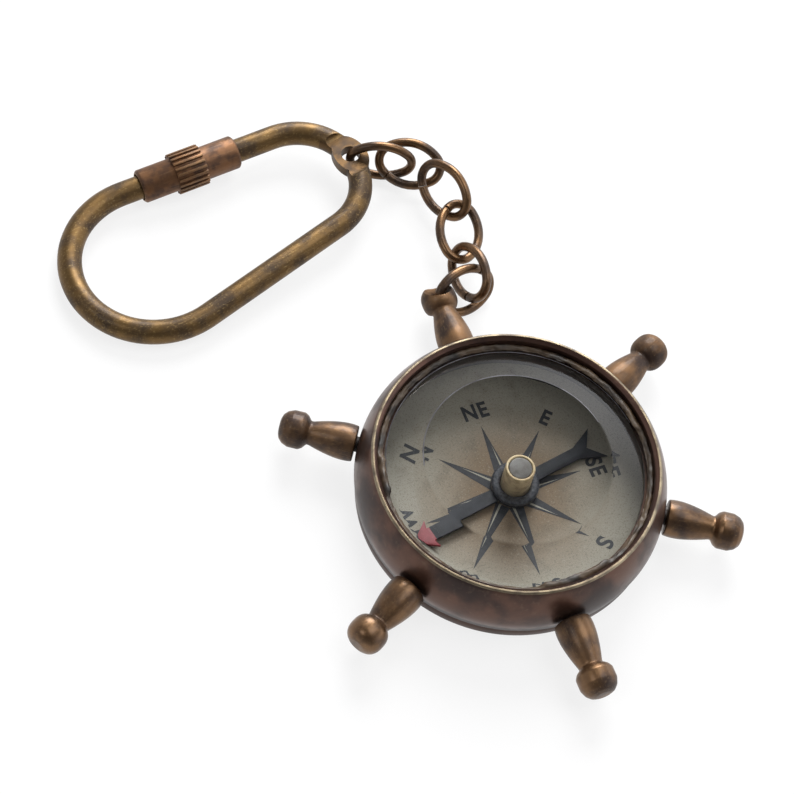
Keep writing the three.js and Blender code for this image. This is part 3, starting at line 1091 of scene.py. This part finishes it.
@dataclass
class Crystal:
    """The thick bevelled glass and the cement that holds it."""

    radius: float = 17.2
    bottom: float = 6.9
    edge_top: float = 8.5
    land: float = 0.8
    bevel: float = 4.5
    glint_tilts: tuple[float, float] = (14.0, 9.0)
    glint_from: float = 2.0
    top: float = 10.3
    bead_in: float = 16.7
    bead_out: float = 17.45
    bead_height: float = 0.35
    bead_fill: float = 0.8
    bead_toe: tuple[float, float] = (0.1, 0.08)
    bead_steps: int = 150
    bead_crease: float = 60
    lumps: tuple[tuple[float, int], ...] = ((0.09, 7), (0.05, 11))
    sorted_from: tuple[float, float, float] = (43.7, 22.9, 16.3)
    spills: tuple[tuple[float, float], ...] = ((2.0, 55.0), (163.0, 178.0), (261.0, 290.0))
    spill_height: float = 0.4
    spill_reach: float = 0.982
    spill_lump: float = 0.15
    spill_seed: int = 3
    spill_slope: float = 0.3
    rounding: Rounding = (0.2, 6, 15)
    crease: float = 2.5
    segments: int = 180

    def build(self) -> None:
        """Makes and dresses both pieces."""
        self.glass()
        self.cement()

    def glass(self) -> None:
        """Turns the glass with its table and bevel, and paints glints on its rounded edges."""
        land = self.radius - self.land
        profile = [
            (0, self.bottom),
            (self.radius, self.bottom),
            (self.radius, self.edge_top),
            (land, self.edge_top),
            (land - self.bevel, self.top),
            (0, self.top),
        ]
        glass = turned("bevelled_glass", profile, self.segments)
        soften(glass, *self.rounding)
        materials = [CRYSTAL_GLASS.material(), GLINT_EDGE.material()]
        settle(glass, Body.COMPASS.value, materials, "crystal", self.crease)
        steep, flat = (math.cos(math.radians(tilt)) for tilt in self.glint_tilts)
        # Painted glint: rounded edge faces between two tilts, beyond a set y, turn pale, standing for thin
        # reflected light arcs.
        paint_faces(glass, 1, lambda middle, normal: steep < normal.z < flat and middle.y > self.glint_from)

    def cement(self) -> None:
        """Lays a lumpy bead of cement between glass and lip."""
        middle = (self.bead_in + self.bead_out) / 2
        crown = self.edge_top + self.bead_height * self.bead_fill
        toe_in, toe_up = self.bead_toe
        profile = [
            (self.bead_in, self.edge_top),
            (self.bead_out, self.edge_top),
            (self.bead_out, crown),
            (middle, crown),
            (self.bead_in + toe_in, self.edge_top + toe_up),
        ]
        bead = turned("glass_cement", profile, self.bead_steps, closed=True)
        select_faces(bead, self.on_spill)
        bpy.ops.transform.translate(value=(0, 0, self.spill_height * MM))
        bpy.ops.transform.resize(value=(self.spill_reach, self.spill_reach, 1), center_override=(0, 0, 0))
        bpy.ops.transform.vertex_random(offset=self.spill_lump * MM, uniform=0.0, seed=self.spill_seed)
        close_up()
        for offset, seed in self.lumps:
            edit(bead)
            bpy.ops.transform.vertex_random(offset=offset * MM, uniform=1.0, seed=seed)
            bpy.ops.mesh.subdivide(number_cuts=1, smoothness=1.0)
            bpy.ops.mesh.vertices_smooth(factor=0.5, repeat=1)
            # Subdividing leaves the new vertices in another order each run, and the next draw follows it
            sort_vertices(Vector(self.sorted_from))
            close_up()
        materials = [OLD_CEMENT.material()]
        settle(bead, Body.COMPASS.value, materials, "crystal_seal", self.bead_crease)

    def on_spill(self, middle: Vector, normal: Vector) -> bool:
        """Says whether a face of the bead is on its inner slope where cement was spilt.

        Args:
            middle: The face's middle in mm.
            normal: Its normal.

        Returns:
            Whether it is.
        """
        angle = math.degrees(math.atan2(middle.y, middle.x)) % 360
        inner = normal.z > self.spill_slope and middle.xy.length < self.radius
        return inner and any(start < angle < end for start, end in self.spills)


@dataclass
class Dial:
    """The printed card: disc, eight darts with pale slivers, and the direction letters."""

    bottom: float = 0.6
    top: float = 0.9
    hole: float = 0.75
    card_steps: int = 96
    north: float = 136.9
    print_shift: tuple[float, float, float] = (-0.7, -0.35, 0.0)
    dart_start: float = 2.2
    dart_tip: float = 10.0
    dart_width: float = 1.9
    sliver_tip: float = 6.8
    sliver_width: float = 0.34
    sliver_lean: tuple[float, float] = (0.2, 0.25)
    letter_ring: float = 12.0
    letter_size: float = 3.05
    letter_squeeze: float = 0.86
    letter_weight: float = 0.09
    letter_spacing: float = 1.12
    ink: float = 0.02

    def build(self) -> None:
        """Makes and dresses the card and its print."""
        self.card()
        self.rose()
        self.letters()

    def card(self) -> None:
        """Turns the card disc."""
        low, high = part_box("dial")
        edge = (high.x - low.x) / 2 / MM
        profile = [(self.hole, self.bottom), (edge, self.bottom), (edge, self.top), (self.hole, self.top)]
        card = turned("dial_card", profile, self.card_steps, closed=True)
        lay(card, Matrix.Translation(MOVEMENT))
        settle(card, Body.COMPASS.value, [DIAL_CARD.material()], "dial")

    def rose(self) -> None:
        """Prints the eight darts, each with a pale sliver on its clockwise side."""
        start = self.dart_start
        half = self.dart_width / 2
        near, far = (-half * share for share in self.sliver_lean)
        dart = plate("rose_ink", [(self.dart_tip, 0), (start, half), (start, -half)], self.top, self.ink)
        strip = [(self.sliver_tip, far), (start, near), (start, near - self.sliver_width)]
        sliver = plate("rose_sliver", strip, self.top + self.ink, self.ink / 2)
        for piece, finish in ((dart, PRINT_INK), (sliver, PALE_PRINT)):
            self.round_the_rose(piece)
            settle(piece, Body.COMPASS.value, [finish.material()])

    def print_lie(self, turn: int) -> Matrix:
        """Gives the lie of a mark in one of the eight directions, drawn along +X."""
        heading = math.radians(self.north - 360 / len(DIRECTIONS) * turn)
        return Matrix.Translation(MOVEMENT + Vector(self.print_shift)) @ Matrix.Rotation(heading, 4, "Z")

    def round_the_rose(self, piece: bpy.types.Object) -> None:
        """Copies a mark to all eight directions and joins the copies.

        Args:
            piece: The mark, drawn along +X.
        """
        copies = [copied(piece, f"{piece.name}_{turn}") for turn in range(1, len(DIRECTIONS))]
        for turn, mark in enumerate([piece, *copies]):
            lay(mark, self.print_lie(turn))
        joined([piece, *copies])

    def letters(self) -> None:
        """Prints the direction letters with their tops outwards."""
        printed = []
        outwards = Matrix.Translation((self.letter_ring, 0, self.top + self.ink / 2))
        squeeze = Matrix.Diagonal((self.letter_squeeze, 1, 1, 1))
        upright = Matrix.Rotation(math.radians(-90), 4, "Z") @ squeeze
        for turn, word in enumerate(DIRECTIONS):
            deselect()
            bpy.ops.object.text_add()
            text = bpy.context.object
            text.data.body = word
            text.data.size = self.letter_size * MM
            text.data.align_x = "CENTER"
            text.data.align_y = "CENTER"
            text.data.offset = self.letter_weight * MM
            text.data.extrude = self.ink / 2 * MM
            text.data.space_character = self.letter_spacing
            bpy.ops.object.convert(target="MESH")
            letter = bpy.context.object
            letter.name = f"letter_{word}"
            lay(letter, self.print_lie(turn) @ outwards @ upright)
            printed.append(letter)
        letters = joined(printed)
        edit(letters)
        close_up()
        letters.name = "letter_ink"
        settle(letters, Body.COMPASS.value, [PRINT_INK.material()])


@dataclass
class Needle:
    """The needle's blade with its red head, its collar, cap and lens, and the pin that they turn on."""

    heading: float = 193.0
    bottom: float = 1.4
    thickness: float = 0.35
    width: float = 1.7
    head_reach: float = 14.0
    head_length: float = 2.6
    head_width: float = 3.6
    head_sweep: float = 0.3
    tail_reach: float = 13.0
    tail_length: float = 3.4
    tail_width: float = 4.6
    tail_notch: float = 1.8
    collar_radius: float = 3.1
    collar_height: float = 0.7
    collar_chamfer: float = 0.25
    collar_dish: Point = (0.25, 0.15)
    collar_edge: float = 0.06
    cap_radius: float = 1.9
    cap_wall: float = 0.55
    cap_top: float = 6.4
    cap_roll: Point = (0.08, 0.15)
    cap_edge: float = 0.04
    lens_bottom: float = 5.6
    lens_rim: float = 0.35
    lens_seat: Point = (0.05, 0.1)
    fit: float = 0.1
    pin_radius: float = 0.45
    pin_foot: float = 0.6
    pin_shoulder: float = 4.4
    pin_tip: float = 5.3
    rounding: Rounding = (0.06, 2, 40)
    paint_gap: float = 0.02
    waist_steps: int = 14
    dome_steps: int = 8
    punch_sides: int = 48
    pin_sides: int = 32
    sides: int = 64

    def build(self) -> None:
        """Makes and dresses the moving pieces and the pin."""
        self.blade()
        self.collar()
        self.cap()
        self.lens()
        self.pin()

    def lie(self) -> Matrix:
        """Gives the needle's place and heading."""
        return Matrix.Translation(MOVEMENT) @ Matrix.Rotation(math.radians(self.heading), 4, "Z")

    def blade(self) -> None:
        """Cuts the blade from plate, with its red head."""
        bar = self.width / 2
        barb = self.head_reach - self.head_length
        fork = self.tail_reach - self.tail_length
        meet = math.degrees(math.asin(bar / self.collar_radius))
        upper = [
            (self.head_reach, 0),
            (barb - self.head_sweep, self.head_width / 2),
            (barb, bar),
            *bow((0, 0), self.collar_radius, meet, 180 - meet, self.waist_steps),
            (-fork, bar),
            (-self.tail_reach, self.tail_width / 2),
        ]
        lower = [(x, -y) for x, y in reversed(upper[1:])]
        outline = [*upper, (self.tail_notch - self.tail_reach, 0), *lower]
        blade = plate("needle_blade", outline, self.bottom, self.thickness)
        edit(blade)
        bpy.ops.mesh.bisect(plane_co=((barb - self.head_sweep) * MM, 0, 0), plane_no=(1, 0, 0))
        close_up()
        top = self.bottom + 2 * self.thickness
        punch = peg("needle_punch", self.cap_radius + self.fit, 0, top, self.punch_sides)
        combine(blade, punch, "DIFFERENCE")
        soften(blade, *self.rounding)
        lay(blade, self.lie())
        materials = [BLUED_STEEL.material(), RED_LACQUER.material()]
        settle(blade, Body.NEEDLE.value, materials, "compass_needle")
        red_from = barb - self.head_sweep - self.paint_gap
        paint_faces(blade, 1, lambda middle, normal: middle.x > red_from, self.lie())

    def collar(self) -> None:
        """Turns the collar round the cap's foot."""
        low = self.bottom + self.thickness
        top = low + self.collar_height
        hole = self.cap_radius + self.fit
        dish_out, dish_down = self.collar_dish
        profile = [
            (hole, low),
            (self.collar_radius, low),
            (self.collar_radius, top - self.collar_chamfer),
            (self.collar_radius - self.collar_chamfer, top),
            (hole + dish_out, top),
            (hole, top - dish_down),
        ]
        collar = turned("needle_collar", profile, self.sides, closed=True)
        lay(collar, self.lie())
        soften(collar, self.collar_edge)
        settle(collar, Body.NEEDLE.value, [COLLAR_STEEL.material()], "needle_hub")

    def cap(self) -> None:
        """Turns the brass cap with its rolled rim."""
        bore = self.cap_radius - self.cap_wall
        seat = self.cap_radius - self.lens_rim
        roll_in, roll_down = self.cap_roll
        seat_out, seat_down = self.lens_seat
        profile = [
            (bore, self.bottom),
            (self.cap_radius, self.bottom),
            (self.cap_radius, self.cap_top - roll_down),
            (self.cap_radius - roll_in, self.cap_top),
            (seat + seat_out, self.cap_top),
            (seat, self.cap_top - seat_down),
            (seat, self.lens_bottom),
            (bore, self.lens_bottom),
        ]
        cap = turned("cap_post", profile, self.sides, closed=True)
        lay(cap, self.lie())
        soften(cap, self.cap_edge)
        settle(cap, Body.NEEDLE.value, [CAP_BRASS.material()], "needle_cap")

    def lens(self) -> None:
        """Turns the domed lens in the cap's top."""
        radius = self.cap_radius - self.lens_rim - self.fit
        edge = self.cap_top - self.fit
        turns = [math.pi / 2 * step / self.dome_steps for step in range(self.dome_steps + 1)]
        dome = [(radius * math.cos(turn), edge + self.fit * math.sin(turn)) for turn in turns]
        lens = turned("cap_lens", [(0, self.lens_bottom), (radius, self.lens_bottom), *dome], self.sides)
        lay(lens, self.lie())
        settle(lens, Body.NEEDLE.value, [LENS_COAT.material()], "cap_jewel")

    def pin(self) -> None:
        """Turns the pointed pin."""
        profile = [
            (0, self.pin_foot),
            (self.pin_radius, self.pin_foot),
            (self.pin_radius, self.pin_shoulder),
            (0, self.pin_tip),
        ]
        pin = turned("pivot_point", profile, self.pin_sides)
        lay(pin, Matrix.Translation(MOVEMENT))
        settle(pin, Body.COMPASS.value, [BLUED_STEEL.material()], "pivot_pin")


@dataclass
class Handles:
    """The six turned spokes, the first one drilled for the chain."""

    standoff: float = 20.3
    stud_radius: float = 1.0
    stud_length: float = 2.2
    base_radius: float = 2.3
    belly_radius: float = 2.75
    belly_place: float = 1.9
    body_length: float = 5.8
    neck_radius: float = 1.55
    neck_length: float = 0.3
    knob_radius: float = 2.42
    knob_length: float = 4.2
    knob_power: float = 2.6
    tip_radius: float = 1.0
    band: Outline = ((0.28, -1.35), (0.0, -0.85), (0.0, 0.5), (0.32, 1.3), (0.82, 1.8))
    throat: float = 1.1
    throat_half: float = 0.6
    flare: float = 40.0
    drill_sides: int = 48
    shade_gap: float = 0.05
    rounding: Rounding = (0.12, 3, 16)
    mouth_rounding: Rounding = (0.08, 2, 35)
    belly_steps: int = 14
    knob_steps: int = 24
    segments: int = 56
    dullness: tuple[float, ...] = (0.52, 0.6, 0.34, 0.38, 0.32, 0.42)
    shapes: tuple[KnobShape, ...] = (
        KnobShape.ROUND,
        KnobShape.ROUND,
        KnobShape.BANDED,
        KnobShape.BANDED,
        KnobShape.ROUND,
        KnobShape.BANDED,
    )

    def build(self) -> None:
        """Models one spoke of each shape, copies them round the case and drills the first."""
        models = {}
        for shape in KnobShape:
            models[shape] = turned(f"spoke_{shape.value}", self.profile(shape), self.segments)
            soften(models[shape], *self.rounding)
        for number, (shape, angle, dullness) in enumerate(zip(self.shapes, HANDLE_ANGLES, self.dullness), 1):
            spoke = copied(models[shape], f"spoke_{number}")
            lay(spoke, spoke_lie(angle, self.standoff))
            if number == 1:
                self.drill(spoke)
            finish = replace(SPOKE_BRASS, name=f"spoke_brass_{number}", heading=angle, roughness=dullness)
            materials = [finish.material(), STUD_SHADE.material()]
            settle(spoke, Body.COMPASS.value, materials, f"handle_{number}")
            # Painted shade: the stud faces inside the wall get the near-black stud finish.
            paint_faces(spoke, 1, lambda middle, normal: middle.xy.length < self.standoff - self.shade_gap)
        for model in models.values():
            bpy.data.objects.remove(model)

    def knob(self, along: float) -> float:
        """Gives the round knob's radius at a distance from its middle."""
        share = min(abs(2 * along / self.knob_length), 1.0)
        return self.knob_radius * (1 - share**self.knob_power) ** (1 / self.knob_power)

    def knob_reach(self, radius: float) -> float:
        """Gives the distance from the knob's middle at which it has a radius."""
        share = radius / self.knob_radius
        return self.knob_length / 2 * (1 - share**self.knob_power) ** (1 / self.knob_power)

    def profile(self, shape: KnobShape) -> list[Point]:
        """Draws the spoke's profile along its own axis, from the base face.

        Args:
            shape: How the knob is turned.

        Returns:
            Pairs of radius and distance in mm.
        """
        belly = []
        radii = (self.base_radius, self.belly_radius, self.neck_radius)
        places = (0.0, self.belly_place, self.body_length)
        for step in range(self.belly_steps + 1):
            share = step / self.belly_steps
            weights = ((1 - share) ** 2, 2 * share * (1 - share), share**2)
            radius = sum(weight * value for weight, value in zip(weights, radii))
            place = sum(weight * value for weight, value in zip(weights, places))
            belly.append((radius, place))
        rise = self.knob_reach(self.neck_radius)
        reach = self.knob_reach(self.tip_radius)
        middle = self.body_length + self.neck_length + rise
        if shape is KnobShape.BANDED:
            band = [(self.knob_radius - inset, along) for inset, along in self.band]
            turns = [(self.neck_radius, -rise), *band, (self.tip_radius, reach)]
        else:
            steps = range(self.knob_steps + 1)
            stops = [-rise + (rise + reach) * step / self.knob_steps for step in steps]
            turns = [(self.knob(along), along) for along in stops]
        knob = [(radius, middle + along) for radius, along in turns]
        return [
            (0, -self.stud_length),
            (self.stud_radius, -self.stud_length),
            (self.stud_radius, 0),
            *belly,
            *knob,
            (0, middle + reach),
        ]

    def drill(self, spoke: bpy.types.Object) -> None:
        """Drills the chain's hole through the knob, flared to both mouths.

        Args:
            spoke: The first spoke, in place.
        """
        joint = JOINTS["link_1_swing"]
        reach = 2 * self.knob_radius
        mouth = self.throat + (reach - self.throat_half) * math.tan(math.radians(self.flare))
        profile = [
            (0, -reach),
            (mouth, -reach),
            (self.throat, -self.throat_half),
            (self.throat, self.throat_half),
            (mouth, reach),
            (0, reach),
        ]
        drill = turned("knob_drill", profile, self.drill_sides)
        axis = Vector(joint["axis"])
        lay(drill, axes(Vector(joint["pos_m"]) / MM, axis.cross(Vector((1, 0, 0))), axis))
        combine(spoke, drill, "DIFFERENCE")
        soften(spoke, *self.mouth_rounding)


@dataclass
class Chain:
    """The six oval wire links, each cut once where the wire's ends meet."""

    wire: float = 0.635
    reach: float = 4.35
    half_width: float = 2.95
    end_radius: float = 2.2
    slit: float = 0.22
    rounding: Rounding = (0.1, 2, 60)
    crease: float = 50
    bend_steps: int = 14
    cut_steps: int = 8
    sides: int = 20
    slit_places: tuple[float, ...] = (60.0, 115.0, 60.0, 60.0, 60.0, 60.0)

    def build(self) -> None:
        """Makes and dresses the links."""
        material = CHAIN_BRONZE.material()
        for number, place in enumerate(self.slit_places, 1):
            link = self.link(f"wire_link_{number}", place)
            far = JOINTS[f"link_{number + 1}_swing" if number < len(self.slit_places) else "ring_swing"]
            lay(link, loop_lie(f"chain_link_{number}", Vector(far["pos_m"]) / MM))
            settle(link, f"link_{number}", [material], f"chain_link_{number}", self.crease)

    def link(self, name: str, place: float) -> bpy.types.Object:
        """Bends one link from wire: two tight ends joined by two slack sides.

        Args:
            name: The link's name.
            place: Angle of the slit on the upper side's arc, in degrees.

        Returns:
            The link in its own XY plane.
        """
        end_centre = self.reach - self.end_radius
        spare = self.half_width - self.end_radius
        side_radius = (end_centre**2 + self.half_width**2 - self.end_radius**2) / (2 * spare)
        side_centre = side_radius - self.half_width
        shoulder = math.degrees(math.atan2(side_centre, end_centre))
        slit_half = math.degrees(self.slit / 2 / side_radius)
        start = math.radians(place + slit_half)
        spot = Vector((side_radius * math.cos(start), side_radius * math.sin(start) - side_centre, 0))
        way = Vector((-math.sin(start), math.cos(start), 0))
        link = rod_start(name, spot, way, self.wire, self.sides)
        rod_bend((0, -side_centre), 180 - shoulder - place - slit_half, self.cut_steps)
        rod_bend((-end_centre, 0), 2 * shoulder, self.bend_steps)
        rod_bend((0, side_centre), 180 - 2 * shoulder, self.bend_steps)
        rod_bend((end_centre, 0), 2 * shoulder, self.bend_steps)
        rod_bend((0, -side_centre), place - slit_half - shoulder, self.cut_steps)
        close_up()
        soften(link, *self.rounding)
        return link


@dataclass
class KeyRing:
    """The tapered ring of round rod with a gap under the sleeve and a flattened, drilled eye."""

    rod: float = 1.65
    big: float = 11.4
    small: float = 8.6
    spacing: float = 23.0
    sleeve_start: float = 2.7
    gap_start: float = 3.2
    gap: float = 3.0
    eye_thickness: float = 1.7
    eye_length: float = 7.8
    eye_radius: float = 2.3
    eye_flank: float = 3.3
    eye_fillet: float = 1.4
    eye_hole: float = 1.3
    eye_margin: float = 0.1
    eye_sides: int = 48
    fillet_steps: int = 4
    rounding: Rounding = (0.12, 2, 35)
    crease: float = 40
    small_steps: int = 40
    big_steps: int = 48
    sides: int = 28

    def taper(self) -> float:
        """Gives the slope of the straights to the ring's axis, in radians."""
        return math.asin((self.big - self.small) / self.spacing)

    def on_upper(self, distance: float) -> Vector:
        """Gives a point on the upper straight.

        Args:
            distance: Its distance from the big bend in mm.

        Returns:
            The point in mm, in the ring's own plane.
        """
        taper = self.taper()
        along = Vector((math.cos(taper), -math.sin(taper), 0))
        left = -self.small - self.spacing + self.big * math.sin(taper)
        return Vector((left, self.big * math.cos(taper), 0)) + along * distance

    def lie(self) -> Matrix:
        """Finds how the ring lies.

        Returns:
            Its frame: its eye, its long axis and its normal.
        """
        joint = JOINTS["ring_swing"]
        normal = Vector(joint["axis"])
        along = Matrix.Rotation(self.taper(), 3, normal) @ Vector(JOINTS["sleeve_travel"]["axis"])
        return axes(Vector(joint["pos_m"]) / MM, along, normal)

    def build(self) -> None:
        """Bends the rod, flattens and drills its eye, and dresses it."""
        taper = self.taper()
        side = 90 - math.degrees(taper)
        straight = self.spacing * math.cos(taper)
        along = Vector((math.cos(taper), -math.sin(taper), 0))
        back = Vector((-math.cos(taper), -math.sin(taper), 0))
        start = self.on_upper(self.sleeve_start + self.gap_start + self.gap)
        ring = rod_start("ring_rod", start, along, self.rod, self.sides)
        rod_run(self.on_upper(straight) - start)
        rod_bend((-self.small, 0), -2 * side, self.small_steps)
        rod_run(back * straight)
        rod_bend((-self.small - self.spacing, 0), -(360 - 2 * side), self.big_steps)
        rod_run(along * (self.sleeve_start + self.gap_start))
        close_up()
        self.flatten(ring)
        soften(ring, *self.rounding)
        lay(ring, self.lie())
        materials = [RING_BRONZE.material(), SHADED_EYE_BRONZE.material()]
        settle(ring, Body.RING.value, materials, "key_ring", self.crease)
        # Painted shade: the flattened eye's faces get the darker bronze.
        paint_faces(ring, 1, self.on_eye, self.lie())

    def on_eye(self, middle: Vector, normal: Vector) -> bool:
        """Says whether a face is on the flattened eye.

        Args:
            middle: The face's middle in mm, in the ring's own plane.
            normal: Its normal, not used.

        Returns:
            Whether it is.
        """
        flattened = self.eye_thickness / 2 + self.eye_margin
        on_end = middle.x > -3 * self.rod and abs(middle.y) < self.eye_length / 2
        return on_end and abs(middle.z) < flattened

    def flatten(self, ring: bpy.types.Object) -> None:
        """Presses the eye flat and drills it.

        Args:
            ring: The bent rod in its own plane.
        """
        half = self.eye_thickness / 2
        reach = 2 * self.rod
        side = self.eye_length / 2
        outline = [(-reach, -side), (reach, -side), (reach, side), (-reach, side)]
        for bottom in (half, -half - reach):
            press = plate("eye_press", outline, bottom, reach)
            soften(press, self.eye_fillet, self.fillet_steps)
            combine(ring, press, "DIFFERENCE")
        turns = [math.tau * step / self.eye_sides for step in range(self.eye_sides)]
        pad = [(self.eye_radius * math.cos(turn), self.eye_flank * math.sin(turn)) for turn in turns]
        combine(ring, plate("eye_pad", pad, -half, self.eye_thickness), "UNION")
        combine(ring, peg("eye_drill", self.eye_hole, -self.rod, self.rod, self.eye_sides), "DIFFERENCE")


@dataclass
class Sleeve:
    """The screw sleeve with plain ends and a straight-knurled band."""

    length: float = 14.5
    radius: float = 2.35
    chamfer: float = 0.3
    bore: float = 1.9
    band_radius: float = 2.55
    band_start: float = 5.0
    band_length: float = 4.4
    band_skin: float = 0.1
    band_lean: float = 0.1
    ridge: float = 0.35
    ridges: int = 21
    rounding: Rounding = (0.08, 2, 25)
    crease: float = 25

    def build(self, ring: KeyRing) -> None:
        """Turns the sleeve, raises the ridges and lays it on the ring.

        Args:
            ring: The ring that carries it.
        """
        band_end = self.band_start + self.band_length
        profile = [
            (self.bore, 0),
            (self.radius - self.chamfer, 0),
            (self.radius, self.chamfer),
            (self.radius, self.band_start),
            (self.band_radius, self.band_start),
            (self.band_radius, band_end),
            (self.radius, band_end),
            (self.radius, self.length - self.chamfer),
            (self.radius - self.chamfer, self.length),
            (self.bore, self.length),
        ]
        sleeve = turned("lock_sleeve", profile, 2 * self.ridges, closed=True)
        select_faces(sleeve, self.on_ridge)
        bpy.ops.mesh.extrude_region_shrink_fatten(TRANSFORM_OT_shrink_fatten={"value": self.ridge * MM})
        close_up()
        soften(sleeve, *self.rounding)
        axis = Vector(JOINTS["sleeve_travel"]["axis"])
        start = ring.lie() @ ring.on_upper(ring.sleeve_start)
        lay(sleeve, axes(start, axis.cross(Vector((0, 0, 1))), axis))
        materials = [SLEEVE_BRONZE.material()]
        settle(sleeve, Body.SLEEVE.value, materials, "screw_sleeve", self.crease)

    def on_ridge(self, middle: Vector, normal: Vector) -> bool:
        """Says whether a face of the band is one of those that are raised.

        Args:
            middle: The face's middle in mm, with the sleeve upright.
            normal: Its normal.

        Returns:
            Whether it is.
        """
        on_band = middle.xy.length > self.band_radius - self.band_skin and abs(normal.z) < self.band_lean
        sector = math.floor(math.atan2(middle.y, middle.x) / math.pi * self.ridges)
        return on_band and sector % 2 == 0


@dataclass(frozen=True)
class Lamp:
    """A soft round lamp that faces the compass, with its place in mm and its width in metres."""

    name: str
    place: tuple[float, float, float]
    width: float
    watts: float
    flagged: str = "bevelled_glass"

    def hang(self) -> None:
        """Hangs the lamp and keeps its glare off the flagged piece, as a polarising filter does."""
        data = bpy.data.lights.new(self.name, "AREA")
        data.shape = "DISK"
        data.size = self.width
        data.energy = self.watts
        lamp = bpy.data.objects.new(self.name, data)
        bpy.context.scene.collection.objects.link(lamp)
        lamp.location = Vector(self.place) * MM
        lamp.rotation_euler = (-lamp.location).to_track_quat("-Z", "Y").to_euler()
        shaded = bpy.data.collections.new(f"{self.name}_flag")
        shaded.objects.link(bpy.data.objects[self.flagged])
        shaded.collection_objects[0].light_linking.link_state = "EXCLUDE"
        lamp.light_linking.receiver_collection = shaded


@dataclass
class Studio:
    """The white room: floor, soft lamps, pale surroundings and the camera."""

    azimuth: float = -28.722
    elevation: float = 59.445
    roll: float = 11.789
    distance: float = 232.532
    target: tuple[float, float, float] = (-10.401, 14.945, 5.0)
    focal: float = 1800.106
    frame_width: float = 794.0
    sensor: float = 36.0
    clip: tuple[float, float] = (0.01, 20.0)
    floor_size: float = 6.0
    floor_matte: Colour = (0.9, 0.9, 0.9, 1.0)
    floor_glow: Colour = (1.0, 1.0, 1.0, 1.0)
    glow_share: float = 0.8
    sky: Colour = (0.95, 0.96, 1.0, 1.0)
    overhead: float = 0.08
    level: float = 0.3
    behind: float = 0.5
    right: float = 1.5
    level_fade: tuple[float, float] = (0.15, 0.8)
    behind_fade: tuple[float, float] = (-0.7, 0.6)
    right_fade: tuple[float, float] = (0.2, 0.9)
    lamps: tuple[Lamp, ...] = (
        Lamp("key_lamp", (211, 473, 376), 0.42, 5.4),
        Lamp("top_lamp", (281, 0, 575), 0.45, 1.6),
        Lamp("side_lamp", (-376, 0, 518), 0.3, 0.6),
    )

    def build(self) -> None:
        """Sets up the whole room."""
        bpy.context.scene.view_settings.view_transform = "Standard"
        self.camera()
        self.floor()
        self.room()
        for lamp in self.lamps:
            lamp.hang()

    def camera(self) -> None:
        """Stands the camera where the photograph was taken from."""
        turn = math.radians(self.azimuth)
        tilt = math.radians(self.elevation)
        lean = math.radians(self.roll)
        flat = math.cos(tilt)
        forward = Vector((-math.sin(turn) * flat, math.cos(turn) * flat, -math.sin(tilt)))
        level = Vector((math.cos(turn), math.sin(turn), 0))
        upright = level.cross(forward)
        right = level * math.cos(lean) + upright * math.sin(lean)
        data = bpy.data.cameras.new("photo_camera")
        data.sensor_width = self.sensor
        data.lens = self.focal / self.frame_width * self.sensor
        data.clip_start, data.clip_end = self.clip
        camera = bpy.data.objects.new("photo_camera", data)
        bpy.context.scene.collection.objects.link(camera)
        stand = axes(Vector(self.target) - forward * self.distance, right, -forward)
        stand.translation *= MM
        camera.matrix_world = stand
        bpy.context.scene.camera = camera

    def floor(self) -> None:
        """Lays a white floor that keeps a faint shadow."""
        deselect()
        bpy.ops.mesh.primitive_plane_add(size=self.floor_size)
        floor = bpy.context.object
        floor.name = "studio_floor"
        material, graph = new_material("white_floor")
        rays = ("Is Camera Ray", "Is Glossy Ray", "Is Transmission Ray")
        straight, mirrored, through = (graph.node("ShaderNodeLightPath", output=ray) for ray in rays)
        seen = graph.spread(straight + mirrored + through, 0.0, 1.0) * self.glow_share
        matte = graph.node("ShaderNodeBsdfDiffuse", None, {"Color": self.floor_matte})
        glow = graph.node("ShaderNodeEmission", None, {"Color": self.floor_glow, "Strength": 1.0})
        graph.close(graph.node("ShaderNodeMixShader", None, {0: seen, 1: matte, 2: glow}))
        floor.data.materials.append(material)

    def room(self) -> None:
        """Surrounds the object with a pale room, brightest low on the right and dim overhead."""
        world = bpy.data.worlds.new("studio_room")
        world.use_nodes = True
        bpy.context.scene.world = world
        graph = Graph(world.node_tree)
        way = graph.node("ShaderNodeTexCoord", output="Generated")
        across, depth, height = (graph.node("ShaderNodeSeparateXYZ", None, {0: way}, axis) for axis in "XYZ")
        low = 1 - graph.spread(height, *self.level_fade)
        behind = graph.spread(depth, *self.behind_fade) * self.behind
        right = graph.spread(across, *self.right_fade) * self.right
        strength = self.overhead + low * (self.level + behind + right)
        shade = graph.node("ShaderNodeBackground", None, {"Color": self.sky, "Strength": strength})
        graph.close(shade, "ShaderNodeOutputWorld")


def main() -> None:
    """Builds the sub-assemblies in order, then the studio."""
    logging.basicConfig(level=logging.INFO, format="%(message)s")
    Case().build()
    Crystal().build()
    Dial().build()
    Needle().build()
    Handles().build()
    Chain().build()
    ring = KeyRing()
    ring.build()
    Sleeve().build(ring)
    Studio().build()


if __name__ == "__main__":
    main()
